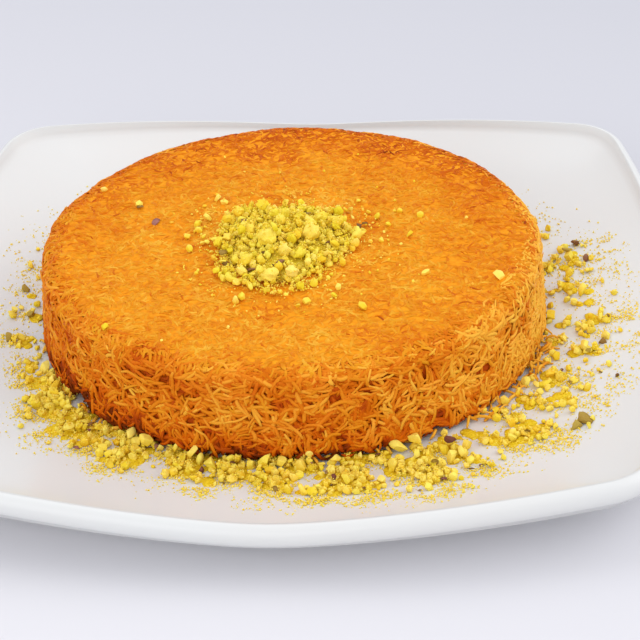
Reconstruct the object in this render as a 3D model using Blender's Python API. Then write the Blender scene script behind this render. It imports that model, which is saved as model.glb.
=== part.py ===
"""A round pan-baked kunafa on its square porcelain plate, with chopped pistachio.

Three objects: plate, kunafa and pistachio_heap. Units are metres and +Z is up. The origin is
on the table under the middle of the plate, whose sides run along X and Y. The pastry's front,
where most loose nuts lie, faces -Y.
"""

import math
import random

import bmesh
import bpy
from mathutils import Euler, Matrix, Vector, noise

SEED = 11
GAP = 0.0003  # left between two pieces that rest on each other
SMOOTH_UNDER = {"plate": 40.0, "kunafa": 50.0, "pistachio_heap": 30.0}  # degrees

# Plate: a square with bulging sides and round corners

PLATE_HALF = 0.1075  # centre to the middle of a side
PLATE_SIDE_RADIUS = 0.318
PLATE_CORNER_RADIUS = 0.0175
PLATE_SIDE_STEPS = 8
PLATE_CORNER_STEPS = 4
WELL_HEIGHT = 0.0070  # the flat middle, above the table
WELL_SHARE = 0.66  # of the way from the centre to the rim
WELL_POWER = 3.0  # 2 would make the well's edge a circle; more brings it nearer a square
WELL_EASE_FROM = 0.60  # share of the reach where contours start to turn into the outline
RIM_RISE = 0.0078  # rim above the well at the middle of a side
CORNER_RISE = 0.0062  # further rise of the corners
CORNER_SPREAD = 1.34  # over 1 keeps the rise of the corners lower and wider
CORNER_EASE = 0.12  # over 0 rounds the rim's low point at the middle of a side
RIM_CURVE = 1.7  # power of the climb from the well to the rim
RIM_END_SHARE = 0.97  # where the climb meets the lip
RIM_STEPS = 5
LIP_THICKNESS = 0.0066
LIP_STEPS = 4
PLATE_THICKNESS = 0.0047  # in the middle; it grows to the lip's
FOOT_SHARE = 0.52
FOOT_WIDTH = 0.0050
FOOT_TAPER = 0.0012

# Kunafa: a pressed disc of baked shreds with a rounded shoulder

KUNAFA_RADIUS = 0.0703  # at its foot, over the shreds
KUNAFA_TOP_RADIUS = 0.0690  # where the side meets the shoulder
KUNAFA_HEIGHT = 0.0267
SHOULDER_WIDTH = 0.0062
SHOULDER_DROP = 0.0042
FOOT_TUCK = 0.0010  # the lowest edge draws in under the side
SHRED_RADIUS = 0.00058
SHRED_COVER = 0.0017  # the side's core lies this far inside the outline
SHRED_SIDES = 4
SHRED_STEPS = 4
SHRED_COUNT = 70
SHRED_ARCHES = (0.0009, 0.0013)  # how far a shred's middle stands out of the core
SHRED_BURY = 0.0010  # how deep its ends are in the core
SHRED_LENGTHS = (0.011, 0.019)
SHRED_STARTS = (0.03, 0.88)  # share of the side's height where a shred begins
SHRED_SLANT = 1.15  # most that either end of it leans from level, in radians
SHRED_MARGINS = (2.2, 5.0)  # how near the foot and the shoulder it runs, in its own radii
CORE_STEPS = 54
CORE_SIDE_SHARES = (0.06, 0.36, 0.68, 1.0)
CORE_SHOULDER_SHARES = (0.35, 0.7)
CORE_LUMP = 0.0005
CORE_LUMP_SIZE = 0.011
FOOT_FLARE_ANGLES = (-48.0, -12.0)  # degrees; shreds spill onto the plate here
FOOT_FLARE_COUNT = 5
FOOT_FLARE_REACH = 0.0042

# Pistachio: a low heap in the middle of the top, and loose pieces round it

HEAP_CENTRE = (-0.0020, -0.0040)
HEAP_REACH = (0.0180, 0.0215)  # half widths along X and Y
HEAP_HEIGHT = 0.0052
HEAP_STEPS = 28
HEAP_CURVE = 1.6
HEAP_EDGE_SHARE = 0.94
HEAP_SHARES = (0.86, 0.72, 0.5, 0.28, 0.1)
HEAP_LUMP = 0.0009
HEAP_LUMP_SIZE = 0.0045
HEAP_CRUMBS = 44
HEAP_LUMPS = (  # x, y from the heap's centre, and radius of the largest pieces
    (-0.0035, 0.0030, 0.0026),
    (0.0082, 0.0030, 0.0025),
    (-0.0020, -0.0150, 0.0025),
    (0.0042, -0.0135, 0.0023),
    (-0.0100, -0.0085, 0.0019),
    (0.0010, 0.0130, 0.0019),
)
CRUMB_RADII = (0.0010, 0.0019)
CRUMB_CHOP = (0.78, 1.16)  # how far its corners lie from a ball's surface
CRUMB_STRETCH = ((0.95, 1.35), (0.80, 1.10), (0.60, 0.90))  # along its three axes
TOP_CRUMBS = (  # x, y and radius of the loose pieces on the pastry
    (-0.0552, 0.0265, 0.0010),
    (-0.0442, 0.0171, 0.0013),
    (-0.0382, 0.0074, 0.0014),
    (-0.0284, -0.0004, 0.0010),
    (0.0296, 0.0133, 0.0011),
    (0.0354, 0.0110, 0.0011),
    (0.0326, 0.0005, 0.0010),
    (0.0373, -0.0202, 0.0012),
    (0.0565, -0.0218, 0.0016),
    (-0.0122, -0.0344, 0.0012),
    (0.0062, -0.0344, 0.0012),
    (0.0210, -0.0373, 0.0014),
)
PLATE_CRUMB_SECTORS = (  # from and to in degrees, nearest and farthest radius, count
    (-172.0, -125.0, 0.0742, 0.0860, 15),
    (-125.0, -62.0, 0.0742, 0.0850, 26),
    (-62.0, -30.0, 0.0785, 0.0930, 11),
    (-30.0, 32.0, 0.0750, 0.0930, 16),
    (32.0, 150.0, 0.0745, 0.0860, 8),
    (150.0, 188.0, 0.0745, 0.0880, 8),
)
PLATE_CRUMB_RADII = (0.0011, 0.0021)
CRUMB_SINK = 0.35  # share of a loose piece's radius that is sunk into what it lies on


def clear_scene():
    """Remove every object of the file."""
    for old in list(bpy.data.objects):
        bpy.data.objects.remove(old, do_unlink=True)


def finish_material(name, colour, roughness, metallic=0.0):
    """Principled material with one colour."""
    material = bpy.data.materials.new(name)
    material.use_nodes = True
    shader = material.node_tree.nodes["Principled BSDF"]
    shader.inputs["Base Color"].default_value = (*colour, 1.0)
    shader.inputs["Roughness"].default_value = roughness
    shader.inputs["Metallic"].default_value = metallic
    return material


def new_object(name, bm, material=None, collection=None):
    """Object made from a bmesh, which it frees."""
    mesh = bpy.data.meshes.new(name)
    bm.to_mesh(mesh)
    bm.free()
    if material:
        mesh.materials.append(material)
    made = bpy.data.objects.new(name, mesh)
    (collection or bpy.context.scene.collection).objects.link(made)
    return made


# Shapes that every piece uses


def grown(vert, fresh):
    """The extruded vertex that hangs on this one."""
    return next(edge.other_vert(vert) for edge in vert.link_edges if edge.other_vert(vert) in fresh)


def loft(bm, rings):
    """Closed ring of edges extruded through all rings, lists of as many points, and filled."""
    verts = [bm.verts.new(point) for point in rings[0]]
    edges = [bm.edges.new((verts[i - 1], verts[i])) for i in range(len(verts))]
    bmesh.ops.edgeloop_fill(bm, edges=edges)
    for ring in rings[1:]:
        made = bmesh.ops.extrude_edge_only(bm, edges=edges)["geom"]
        fresh = {item for item in made if isinstance(item, bmesh.types.BMVert)}
        verts = [grown(vert, fresh) for vert in verts]
        for vert, point in zip(verts, ring):
            vert.co = point
        edges = [bm.edges.get((verts[i - 1], verts[i])) for i in range(len(verts))]
    bmesh.ops.edgeloop_fill(bm, edges=edges)
    bmesh.ops.recalc_face_normals(bm, faces=bm.faces)


def add_tube(bm, path, normals, radius, sides):
    """Closed tube along the path, its section set square to the path and the normals."""
    rings = []
    for i, point in enumerate(path):
        along = path[min(i + 1, len(path) - 1)] - path[max(i - 1, 0)]
        across = along.cross(normals[i]).normalized()
        lift = across.cross(along).normalized()
        turns = [math.tau * k / sides for k in range(sides)]
        rings.append([point + radius * (math.cos(t) * across + math.sin(t) * lift) for t in turns])
    loft(bm, rings)


def add_crumb(bm, radius, spot, draw):
    """Angular chopped piece of about this radius, turned at random and sunk in at the spot."""
    made = bmesh.ops.create_icosphere(bm, subdivisions=1, radius=radius)
    for vert in made["verts"]:
        vert.co *= draw.uniform(*CRUMB_CHOP)
    turn = Euler([draw.uniform(0.0, math.tau) for _ in range(3)]).to_matrix()
    stretch = Matrix.Diagonal([draw.uniform(*limits) for limits in CRUMB_STRETCH])
    bmesh.ops.transform(bm, matrix=(turn @ stretch).to_4x4(), verts=made["verts"])
    lowest = min(vert.co.z for vert in made["verts"])
    sink = Vector((0.0, 0.0, lowest + CRUMB_SINK * radius))
    bmesh.ops.translate(bm, vec=spot - sink, verts=made["verts"])
    return made["verts"]


def fuse(base, collection):
    """Join the collection's closed shapes to the base, and keep the one outer body."""
    union = base.modifiers.new("fused", "BOOLEAN")
    union.operation = "UNION"
    union.operand_type = "COLLECTION"
    union.collection = collection
    union.solver = "EXACT"
    depsgraph = bpy.context.evaluated_depsgraph_get()
    joined = bpy.data.meshes.new_from_object(base.evaluated_get(depsgraph))
    base.modifiers.remove(union)
    old = base.data
    base.data = joined
    joined.name = old.name
    bpy.data.meshes.remove(old)
    for piece in list(collection.objects):
        bpy.data.objects.remove(piece, do_unlink=True)
    bpy.data.collections.remove(collection)
    keep_outer_body(joined)


def keep_outer_body(mesh):
    """Drop what a fuse seals in or leaves loose: all but the widest shell."""
    bm = bmesh.new()
    bm.from_mesh(mesh)
    shells = []
    unseen = set(bm.verts)
    while unseen:
        shell = [unseen.pop()]
        for vert in shell:
            for edge in vert.link_edges:
                other = edge.other_vert(vert)
                if other in unseen:
                    unseen.remove(other)
                    shell.append(other)
        shells.append(shell)
    widest = max(shells, key=lambda shell: max(v.co.x for v in shell) - min(v.co.x for v in shell))
    for shell in shells:
        if shell is not widest:
            bmesh.ops.delete(bm, geom=shell, context="VERTS")
    bmesh.ops.triangulate(bm, faces=bm.faces)
    bm.to_mesh(mesh)
    bm.free()


def shade(made):
    """Smooth shading, with edges over the piece's angle kept sharp."""
    made.data.shade_smooth()
    made.data.set_sharp_from_angle(angle=math.radians(SMOOTH_UNDER[made.name]))


# Plate


def corner_centre():
    """Distance along X and along Y of the corner arc's centre."""
    back = PLATE_SIDE_RADIUS - PLATE_HALF
    span = PLATE_SIDE_RADIUS - PLATE_CORNER_RADIUS
    return (math.sqrt(2.0 * span**2 - back**2) - back) / 2.0


def corner_start():
    """Polar angle where a side's arc meets the corner's arc."""
    centre = corner_centre()
    back = PLATE_SIDE_RADIUS - PLATE_HALF
    turn = math.atan2(centre, centre + back)
    return math.atan2(PLATE_SIDE_RADIUS * math.sin(turn), PLATE_SIDE_RADIUS * math.cos(turn) - back)


def plate_reach(angle):
    """Distance from the plate's centre to its outline at the angle."""
    folded = abs((angle + math.pi / 4.0) % (math.pi / 2.0) - math.pi / 4.0)
    if folded < corner_start():
        back = PLATE_SIDE_RADIUS - PLATE_HALF
        return math.sqrt(PLATE_SIDE_RADIUS**2 - (back * math.sin(folded)) ** 2) - back * math.cos(folded)
    centre = corner_centre()
    inward = centre * (math.cos(folded) - math.sin(folded))
    outward = centre * (math.cos(folded) + math.sin(folded))
    return outward + math.sqrt(PLATE_CORNER_RADIUS**2 - inward**2)


def plate_angles():
    """Polar angles of the outline's points, closer together round the corners."""
    start = corner_start()
    side = [-start + 2.0 * start * i / PLATE_SIDE_STEPS for i in range(PLATE_SIDE_STEPS)]
    turn = math.pi / 2.0 - 2.0 * start
    corner = [start + turn * i / PLATE_CORNER_STEPS for i in range(PLATE_CORNER_STEPS)]
    quarter = side + corner
    return [angle + quadrant * math.pi / 2.0 for quadrant in range(4) for angle in quarter]


def plate_climb(x, y):
    """How far a point is on its way from the well to the rim, 0 to 1.

    Near the well the contours are rounder than the outline, and they turn into it further out.
    """
    angle, away = math.atan2(y, x), math.hypot(x, y)
    reach = plate_reach(angle)
    powers = abs(math.cos(angle)) ** WELL_POWER + abs(math.sin(angle)) ** WELL_POWER
    rounder = PLATE_HALF / powers ** (1.0 / WELL_POWER)
    part = min(max(0.0, (away / reach - WELL_EASE_FROM) / (1.0 - WELL_EASE_FROM)), 1.0)
    share = away / (rounder + (reach - rounder) * part**2 * (3.0 - 2.0 * part))
    return max(0.0, (share - WELL_SHARE) / (1.0 - WELL_SHARE))


def plate_top(x, y):
    """Height of the plate's upper surface above the table."""
    corner = math.hypot(x * y / corner_centre() ** 2 / CORNER_SPREAD, CORNER_EASE) - CORNER_EASE
    return WELL_HEIGHT + plate_climb(x, y) ** RIM_CURVE * (RIM_RISE + CORNER_RISE * corner)


def plate_underside(x, y):
    """Height of the plate's lower surface outside its foot."""
    thickness = PLATE_THICKNESS + (LIP_THICKNESS - PLATE_THICKNESS) * plate_climb(x, y)
    return plate_top(x, y) - thickness


def plate_ring(share, height):
    """Ring at this share of the outline; height turns x and y into z."""
    ring = []
    for angle in plate_angles():
        reach = share * plate_reach(angle)
        x, y = reach * math.cos(angle), reach * math.sin(angle)
        ring.append((x, y, height(x, y)))
    return ring


def lip_ring(turn):
    """Ring of the rounded lip, from 0 at its top to pi at its underside."""
    half = LIP_THICKNESS / 2.0
    ring = []
    for angle in plate_angles():
        edge = plate_reach(angle)
        reach = edge - half + half * math.sin(turn)
        x, y = reach * math.cos(angle), reach * math.sin(angle)
        level = plate_top(edge * math.cos(angle), edge * math.sin(angle))
        ring.append((x, y, level - half + half * math.cos(turn)))
    return ring


def build_plate(material, draw):
    """Plate on a foot ring, with the loose chopped pistachio that lies on it."""
    foot_in = FOOT_SHARE - FOOT_WIDTH / PLATE_HALF
    taper = FOOT_TAPER / PLATE_HALF
    recess = WELL_HEIGHT - PLATE_THICKNESS
    rings = [plate_ring(foot_in - taper, lambda x, y: recess)]
    rings.append(plate_ring(foot_in, lambda x, y: 0.0))
    rings.append(plate_ring(FOOT_SHARE, lambda x, y: 0.0))
    rings.append(plate_ring(FOOT_SHARE + taper, lambda x, y: recess))
    step = (RIM_END_SHARE - WELL_EASE_FROM) / RIM_STEPS
    climb = [WELL_EASE_FROM + step * i for i in range(RIM_STEPS)]
    rings += [plate_ring(share, plate_underside) for share in climb]
    rings += [lip_ring(math.pi * (1.0 - i / LIP_STEPS)) for i in range(LIP_STEPS + 1)]
    rings += [plate_ring(share, plate_top) for share in reversed(climb)]
    bm = bmesh.new()
    loft(bm, rings)
    plate = new_object("plate", bm, material)
    crumbs = bpy.data.collections.new("plate_crumbs")
    bpy.context.scene.collection.children.link(crumbs)
    placed = []
    for first, last, near, far, count in PLATE_CRUMB_SECTORS:
        for i in range(count):
            angle = math.radians(first + (last - first) * (i + draw.uniform(0.2, 0.8)) / count)
            radius = draw.uniform(*PLATE_CRUMB_RADII)
            reach = draw.uniform(near + radius * 1.2, far)
            x, y = reach * math.cos(angle), reach * math.sin(angle)
            spot = Vector((x, y, plate_top(x, y)))
            if all((spot - other).length > radius + size + GAP for other, size in placed):
                placed.append((spot, radius))
                crumb = bmesh.new()
                add_crumb(crumb, radius, spot, draw)
                new_object("crumb", crumb, collection=crumbs)
    fuse(plate, crumbs)
    shade(plate)
    return plate


# Kunafa


def kunafa_base():
    """Height of the pastry's underside above the table."""
    return WELL_HEIGHT + GAP


def kunafa_outline(way):
    """Radius and height of the outline this far up the side, then over the shoulder."""
    side = KUNAFA_HEIGHT - SHOULDER_DROP
    if way <= side:
        share = way / side
        return KUNAFA_RADIUS + (KUNAFA_TOP_RADIUS - KUNAFA_RADIUS) * share, way
    turn = min((way - side) / ((SHOULDER_WIDTH + SHOULDER_DROP) / 2.0), math.pi / 2.0)
    radius = KUNAFA_TOP_RADIUS - SHOULDER_WIDTH * (1.0 - math.cos(turn))
    return radius, side + SHOULDER_DROP * math.sin(turn)


def shoulder_end():
    """Way up the side and over the shoulder to where the level top begins."""
    return KUNAFA_HEIGHT - SHOULDER_DROP + math.pi / 2.0 * (SHOULDER_WIDTH + SHOULDER_DROP) / 2.0


def core_point(angle, way):
    """Point of the lumpy core under the outline at this angle and way up."""
    radius, height = kunafa_outline(way)
    inset = SHRED_COVER * min(1.0, 2.0 * (KUNAFA_HEIGHT - height) / KUNAFA_HEIGHT)
    spot = Vector((radius * math.cos(angle), radius * math.sin(angle), height))
    inset -= CORE_LUMP * noise.noise(spot / CORE_LUMP_SIZE)
    radius -= inset
    return Vector((radius * math.cos(angle), radius * math.sin(angle), kunafa_base() + height))


def core_ring(way, steps, tuck=0.0):
    """Ring of the core with its points spread evenly."""
    ring = []
    for i in range(steps):
        point = core_point(math.tau * i / steps, way)
        inward = Vector((-point.x, -point.y, 0.0)).normalized()
        ring.append(point + tuck * inward)
    return ring


def flat_ring(radius, steps):
    """Ring on the level top."""
    level = kunafa_base() + KUNAFA_HEIGHT
    turns = [math.tau * i / steps for i in range(steps)]
    return [(radius * math.cos(t), radius * math.sin(t), level) for t in turns]


def shred_path(angle, way, draw):
    """Points and outward normals of a shred that lies bent on the side.

    It starts at the angle and way up, and runs round the disc with a lean that changes along
    it. Its ends are in the core, and its middle arches clear of it.
    """
    side_way = draw.choice((-1.0, 1.0))
    first_lean = draw.uniform(-SHRED_SLANT, SHRED_SLANT)
    last_lean = draw.uniform(-SHRED_SLANT, SHRED_SLANT)
    step = draw.uniform(*SHRED_LENGTHS) / SHRED_STEPS
    arch = draw.uniform(*SHRED_ARCHES)
    lowest = draw.uniform(*SHRED_MARGINS) * SHRED_RADIUS
    highest = KUNAFA_HEIGHT - SHOULDER_DROP - draw.uniform(*SHRED_MARGINS) * SHRED_RADIUS
    path, normals = [], []
    for i in range(SHRED_STEPS + 1):
        share = i / SHRED_STEPS
        spot = core_point(angle, way)
        ahead = core_point(angle, way + SHRED_RADIUS) - spot
        around = Vector((-math.sin(angle), math.cos(angle), 0.0))
        normal = around.cross(ahead).normalized()
        rise = math.sqrt(abs(math.sin(math.pi * share)))
        path.append(spot + normal * ((arch + SHRED_BURY) * rise - SHRED_BURY))
        normals.append(normal)
        lean = first_lean + (last_lean - first_lean) * share
        angle += side_way * step * math.cos(lean) / KUNAFA_RADIUS
        way = min(max(lowest, way + step * math.sin(lean)), highest)
    return path, normals


def flare_path(angle, reach, draw):
    """Points and normals of a shred that spills from the foot onto the plate."""
    path, normals = [], []
    sweep = draw.uniform(-0.09, 0.09)
    for i in range(SHRED_STEPS + 1):
        share = i / SHRED_STEPS
        radius = KUNAFA_RADIUS - SHRED_COVER - 3.0 * SHRED_RADIUS + reach * share
        height = 1.6 * SHRED_RADIUS + (1.0 - share) ** 2 * 4.0 * SHRED_RADIUS
        turn = angle + sweep * share**2
        x, y = radius * math.cos(turn), radius * math.sin(turn)
        path.append(Vector((x, y, WELL_HEIGHT + height)))
        normals.append(Vector((0.0, 0.0, 1.0)))
    return path, normals


def build_kunafa(material, draw):
    """Disc of pressed shreds, with the shreds and loose nuts that stand out fused on."""
    side = KUNAFA_HEIGHT - SHOULDER_DROP
    over = shoulder_end()
    rings = [core_ring(0.0, CORE_STEPS, FOOT_TUCK)]
    rings += [core_ring(side * share, CORE_STEPS) for share in CORE_SIDE_SHARES]
    rings += [core_ring(side + (over - side) * share, CORE_STEPS) for share in CORE_SHOULDER_SHARES]
    rings.append(flat_ring(KUNAFA_TOP_RADIUS - SHOULDER_WIDTH, CORE_STEPS))
    bm = bmesh.new()
    loft(bm, rings)
    kunafa = new_object("kunafa", bm, material)
    details = bpy.data.collections.new("kunafa_details")
    bpy.context.scene.collection.children.link(details)
    for i in range(SHRED_COUNT):
        angle = math.tau * (i + draw.uniform(-0.5, 0.5)) / SHRED_COUNT
        path, normals = shred_path(angle, draw.uniform(*SHRED_STARTS) * side, draw)
        shred = bmesh.new()
        add_tube(shred, path, normals, SHRED_RADIUS, SHRED_SIDES)
        new_object("shred", shred, collection=details)
    for i in range(FOOT_FLARE_COUNT):
        first, last = FOOT_FLARE_ANGLES
        angle = math.radians(first + (last - first) * (i + 0.5) / FOOT_FLARE_COUNT)
        reach = 3.0 * SHRED_RADIUS + draw.uniform(0.5, 1.0) * FOOT_FLARE_REACH
        path, normals = flare_path(angle, reach, draw)
        shred = bmesh.new()
        add_tube(shred, path, normals, SHRED_RADIUS, SHRED_SIDES)
        new_object("shred", shred, collection=details)
    level = kunafa_base() + KUNAFA_HEIGHT
    for x, y, radius in TOP_CRUMBS:
        crumb = bmesh.new()
        add_crumb(crumb, radius, Vector((x, y, level)), draw)
        new_object("crumb", crumb, collection=details)
    fuse(kunafa, details)
    shade(kunafa)
    return kunafa


# Pistachio heap


def heap_reach(angle, share):
    """Distance from the heap's centre to its uneven edge, at this share of its width."""
    wide, deep = HEAP_REACH
    reach = 1.0 / math.hypot(math.cos(angle) / wide, math.sin(angle) / deep)
    wave = 0.07 * math.sin(3.0 * angle + 0.6) + 0.05 * math.sin(5.0 * angle + 2.0)
    return reach * share * (1.0 + wave)


def heap_top(x, y):
    """Height of the heap's core above its underside."""
    angle = math.atan2(y, x)
    share = min(1.0, math.hypot(x, y) / heap_reach(angle, 1.0))
    lump = HEAP_LUMP * noise.noise(Vector((x, y, 0.0)) / HEAP_LUMP_SIZE)
    return max(0.0, HEAP_HEIGHT * (1.0 - share**HEAP_CURVE) + lump)


def heap_ring(share, lift=None):
    """Ring of the heap's core; lift replaces the height that the ring has on the heap."""
    base = kunafa_base() + KUNAFA_HEIGHT + GAP
    ring = []
    for i in range(HEAP_STEPS):
        angle = math.tau * i / HEAP_STEPS
        reach = heap_reach(angle, share)
        x, y = reach * math.cos(angle), reach * math.sin(angle)
        height = heap_top(x, y) if lift is None else lift
        ring.append((HEAP_CENTRE[0] + x, HEAP_CENTRE[1] + y, base + height))
    return ring


def build_heap(material, draw):
    """Low heap of chopped pistachio, its larger pieces fused to a rounded core."""
    rings = [heap_ring(HEAP_EDGE_SHARE, 0.0), heap_ring(HEAP_EDGE_SHARE, CRUMB_RADII[0] / 2.0)]
    rings += [heap_ring(share) for share in HEAP_SHARES]
    bm = bmesh.new()
    loft(bm, rings)
    heap = new_object("pistachio_heap", bm, material)
    crumbs = bpy.data.collections.new("heap_crumbs")
    bpy.context.scene.collection.children.link(crumbs)
    base = kunafa_base() + KUNAFA_HEIGHT + GAP
    spots = [(x, y, radius) for x, y, radius in HEAP_LUMPS]
    golden = math.pi * (3.0 - math.sqrt(5.0))
    for i in range(HEAP_CRUMBS):
        angle = i * golden
        reach = heap_reach(angle, math.sqrt((i + 0.5) / HEAP_CRUMBS)) * draw.uniform(0.95, 1.05)
        spots.append((reach * math.cos(angle), reach * math.sin(angle), draw.uniform(*CRUMB_RADII)))
    for x, y, radius in spots:
        height = heap_top(x, y) - radius * draw.uniform(0.1, 0.5)
        crumb = bmesh.new()
        spot = Vector((HEAP_CENTRE[0] + x, HEAP_CENTRE[1] + y, base + height))
        verts = add_crumb(crumb, radius, spot, draw)
        lowest = min(vert.co.z for vert in verts)
        lift = max(0.0, base + draw.uniform(0.05, 0.25) * radius - lowest)
        bmesh.ops.translate(crumb, vec=Vector((0.0, 0.0, lift)), verts=verts)
        new_object("crumb", crumb, collection=crumbs)
    fuse(heap, crumbs)
    shade(heap)
    return heap


def main():
    """Build the three pieces and hang them on one empty."""
    clear_scene()
    porcelain = finish_material("white_porcelain", (0.86, 0.85, 0.83), 0.15)
    pastry = finish_material("baked_shreds", (0.76, 0.30, 0.04), 0.45)
    nut = finish_material("chopped_pistachio", (0.68, 0.52, 0.08), 0.70)
    stand = bpy.data.objects.new("plate_centre", None)
    bpy.context.scene.collection.objects.link(stand)
    build_plate(porcelain, random.Random(SEED)).parent = stand
    build_kunafa(pastry, random.Random(SEED)).parent = stand
    build_heap(nut, random.Random(SEED)).parent = stand


if __name__ == "__main__":
    main()
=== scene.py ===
"""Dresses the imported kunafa: a pan-baked disc of shreds with pistachio, on a square plate.

Lengths are metres and angles are radians, unless a name says otherwise. Many small things,
such as shreds and chopped nuts, are one mesh a kind, joined from a few small templates.
"""

import logging
import math
from collections.abc import Callable
from dataclasses import dataclass, field
from enum import Enum

import bmesh
import bpy
import numpy as np
from bmesh.types import BMEdge, BMesh, BMVert
from mathutils import Matrix, Vector


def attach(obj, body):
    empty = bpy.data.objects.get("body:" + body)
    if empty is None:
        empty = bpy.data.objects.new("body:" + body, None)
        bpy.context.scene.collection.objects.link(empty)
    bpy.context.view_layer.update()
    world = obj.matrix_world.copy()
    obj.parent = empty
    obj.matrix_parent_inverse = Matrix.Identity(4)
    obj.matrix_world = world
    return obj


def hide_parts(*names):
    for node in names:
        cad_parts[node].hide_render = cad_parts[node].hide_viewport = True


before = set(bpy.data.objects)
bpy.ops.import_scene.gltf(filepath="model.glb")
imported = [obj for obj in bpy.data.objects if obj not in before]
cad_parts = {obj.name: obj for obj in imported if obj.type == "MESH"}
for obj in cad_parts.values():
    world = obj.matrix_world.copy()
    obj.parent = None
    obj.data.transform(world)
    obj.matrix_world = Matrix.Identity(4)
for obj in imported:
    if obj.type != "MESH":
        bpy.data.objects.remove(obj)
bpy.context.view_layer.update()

Array = np.ndarray
Draw = np.random.Generator
Material = bpy.types.Material
Piece = bpy.types.Object
Socket = bpy.types.NodeSocket
Pair = tuple[float, float]
Triple = tuple[float, float, float]
Rows = tuple[tuple[float, ...], ...]
Heights = Callable[[Array, Array], Array]

BODY = "root"
PALETTE_MAP = "OFBake"
CHOP_SHARP = math.radians(38.0)
MAT_SHARP = math.radians(60.0)
MM = 0.001
PALETTE_EDGE = 0.005
SPOT_STEPS = (2.4, 1.7)
SPOT_REACH = 0.35
TUBE_TAPER = 0.38
TUBE_TAPER_POWER = 4


class Slot(Enum):
    """Material slots."""

    PORCELAIN = "porcelain"
    SHREDS = "baked_shreds"
    NUT = "chopped_pistachio"


class Node(Enum):
    """CAD nodes that the pieces stand for."""

    PLATE = "plate"
    KUNAFA = "kunafa"
    HEAP = "pistachio_heap"


# Finishes


class Tree:
    """Node tree of one new material, with its Principled shader."""

    def __init__(self, name: str) -> None:
        """Start the material.

        Args:
            name: of the material.
        """
        self.material = bpy.data.materials.new(name)
        self.material.use_nodes = True
        self.nodes = self.material.node_tree.nodes
        self.links = self.material.node_tree.links
        self.shader = self.nodes["Principled BSDF"]

    def add(self, kind: str, **settings: object) -> bpy.types.Node:
        """Add a node and set its properties.

        Args:
            kind: the node's type in Blender.
            settings: its properties, by name.

        Returns:
            The node.
        """
        node = self.nodes.new(kind)
        for name, value in settings.items():
            setattr(node, name, value)
        return node

    def join(self, source: Socket, target: Socket) -> None:
        """Link one socket to another."""
        self.links.new(source, target)

    def give(self, node: bpy.types.Node, **values: object) -> None:
        """Set sockets of a node; an underscore in a name stands for a space."""
        for name, value in values.items():
            node.inputs[name.replace("_", " ")].default_value = value

    def shine(self, roughness: float, specular: float) -> None:
        """Set how rough and how shiny the surface is."""
        self.give(self.shader, Roughness=roughness, Specular_IOR_Level=specular)

    def colour(self, colour: Socket) -> None:
        """Colour the surface."""
        self.join(colour, self.shader.inputs["Base Color"])

    def place(self) -> Socket:
        """Object coordinates."""
        return self.add("ShaderNodeTexCoord").outputs["Object"]

    def split(self, vector: Socket) -> dict[str, Socket]:
        """Parts of a vector.

        Args:
            vector: its socket.

        Returns:
            The sockets of X, Y and Z, by these names.
        """
        node = self.add("ShaderNodeSeparateXYZ")
        self.join(vector, node.inputs["Vector"])
        return dict(node.outputs.items())

    def ramp(self, factor: Socket, levels: Array | Triple, colours: tuple[Triple, ...]) -> Socket:
        """Colour ramp over a factor.

        Args:
            factor: socket that the ramp is read at.
            levels: places of its stops, in order.
            colours: linear colour at each.

        Returns:
            The ramp's colour socket.
        """
        node = self.add("ShaderNodeValToRGB")
        band = node.color_ramp
        while len(band.elements) < len(colours):
            band.elements.new(1.0)
        for element, level, colour in zip(band.elements, levels, colours):
            element.position = level
            element.color = (*colour, 1.0)
        self.join(factor, node.inputs["Fac"])
        return node.outputs["Color"]

    def noise(self, size: float, detail: float) -> Socket:
        """Noise on Object coordinates.

        Args:
            size: width of its blotches.
            detail: octaves.

        Returns:
            The noise's factor socket.
        """
        node = self.add("ShaderNodeTexNoise")
        self.give(node, Scale=1.0 / size, Detail=detail)
        self.join(self.place(), node.inputs["Vector"])
        return node.outputs["Fac"]

    def mix(self, factor: Socket | float, first: Socket | Triple, second: Socket | Triple) -> Socket:
        """Mix of two colours.

        Args:
            factor: socket or number, 0 for the first colour.
            first: socket or linear colour.
            second: socket or linear colour.

        Returns:
            The mixed colour's socket.
        """
        node = self.add("ShaderNodeMix", data_type="RGBA")
        for socket, value in ((node.inputs[0], factor), (node.inputs[6], first), (node.inputs[7], second)):
            if isinstance(value, Socket):
                self.join(value, socket)
            elif isinstance(value, float):
                socket.default_value = value
            else:
                socket.default_value = (*value, 1.0)
        return node.outputs[2]

    def spread(self, factor: Socket, **ends: float) -> Socket:
        """One range of a factor, spread over another.

        Args:
            factor: socket that is spread.
            ends: From_Min, From_Max, To_Min and To_Max, where they aren't 0 and 1.

        Returns:
            The result's socket.
        """
        node = self.add("ShaderNodeMapRange")
        self.give(node, **ends)
        self.join(factor, node.inputs["Value"])
        return node.outputs["Result"]

    def relief(self, height: Socket, depth: float, strength: float) -> None:
        """Bump the surface.

        Args:
            height: socket of its height, 0 to 1.
            depth: how deep the full range is.
            strength: share of the bump that is used.
        """
        node = self.add("ShaderNodeBump")
        self.give(node, Distance=depth, Strength=strength)
        self.join(height, node.inputs["Height"])
        self.join(node.outputs["Normal"], self.shader.inputs["Normal"])


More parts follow.
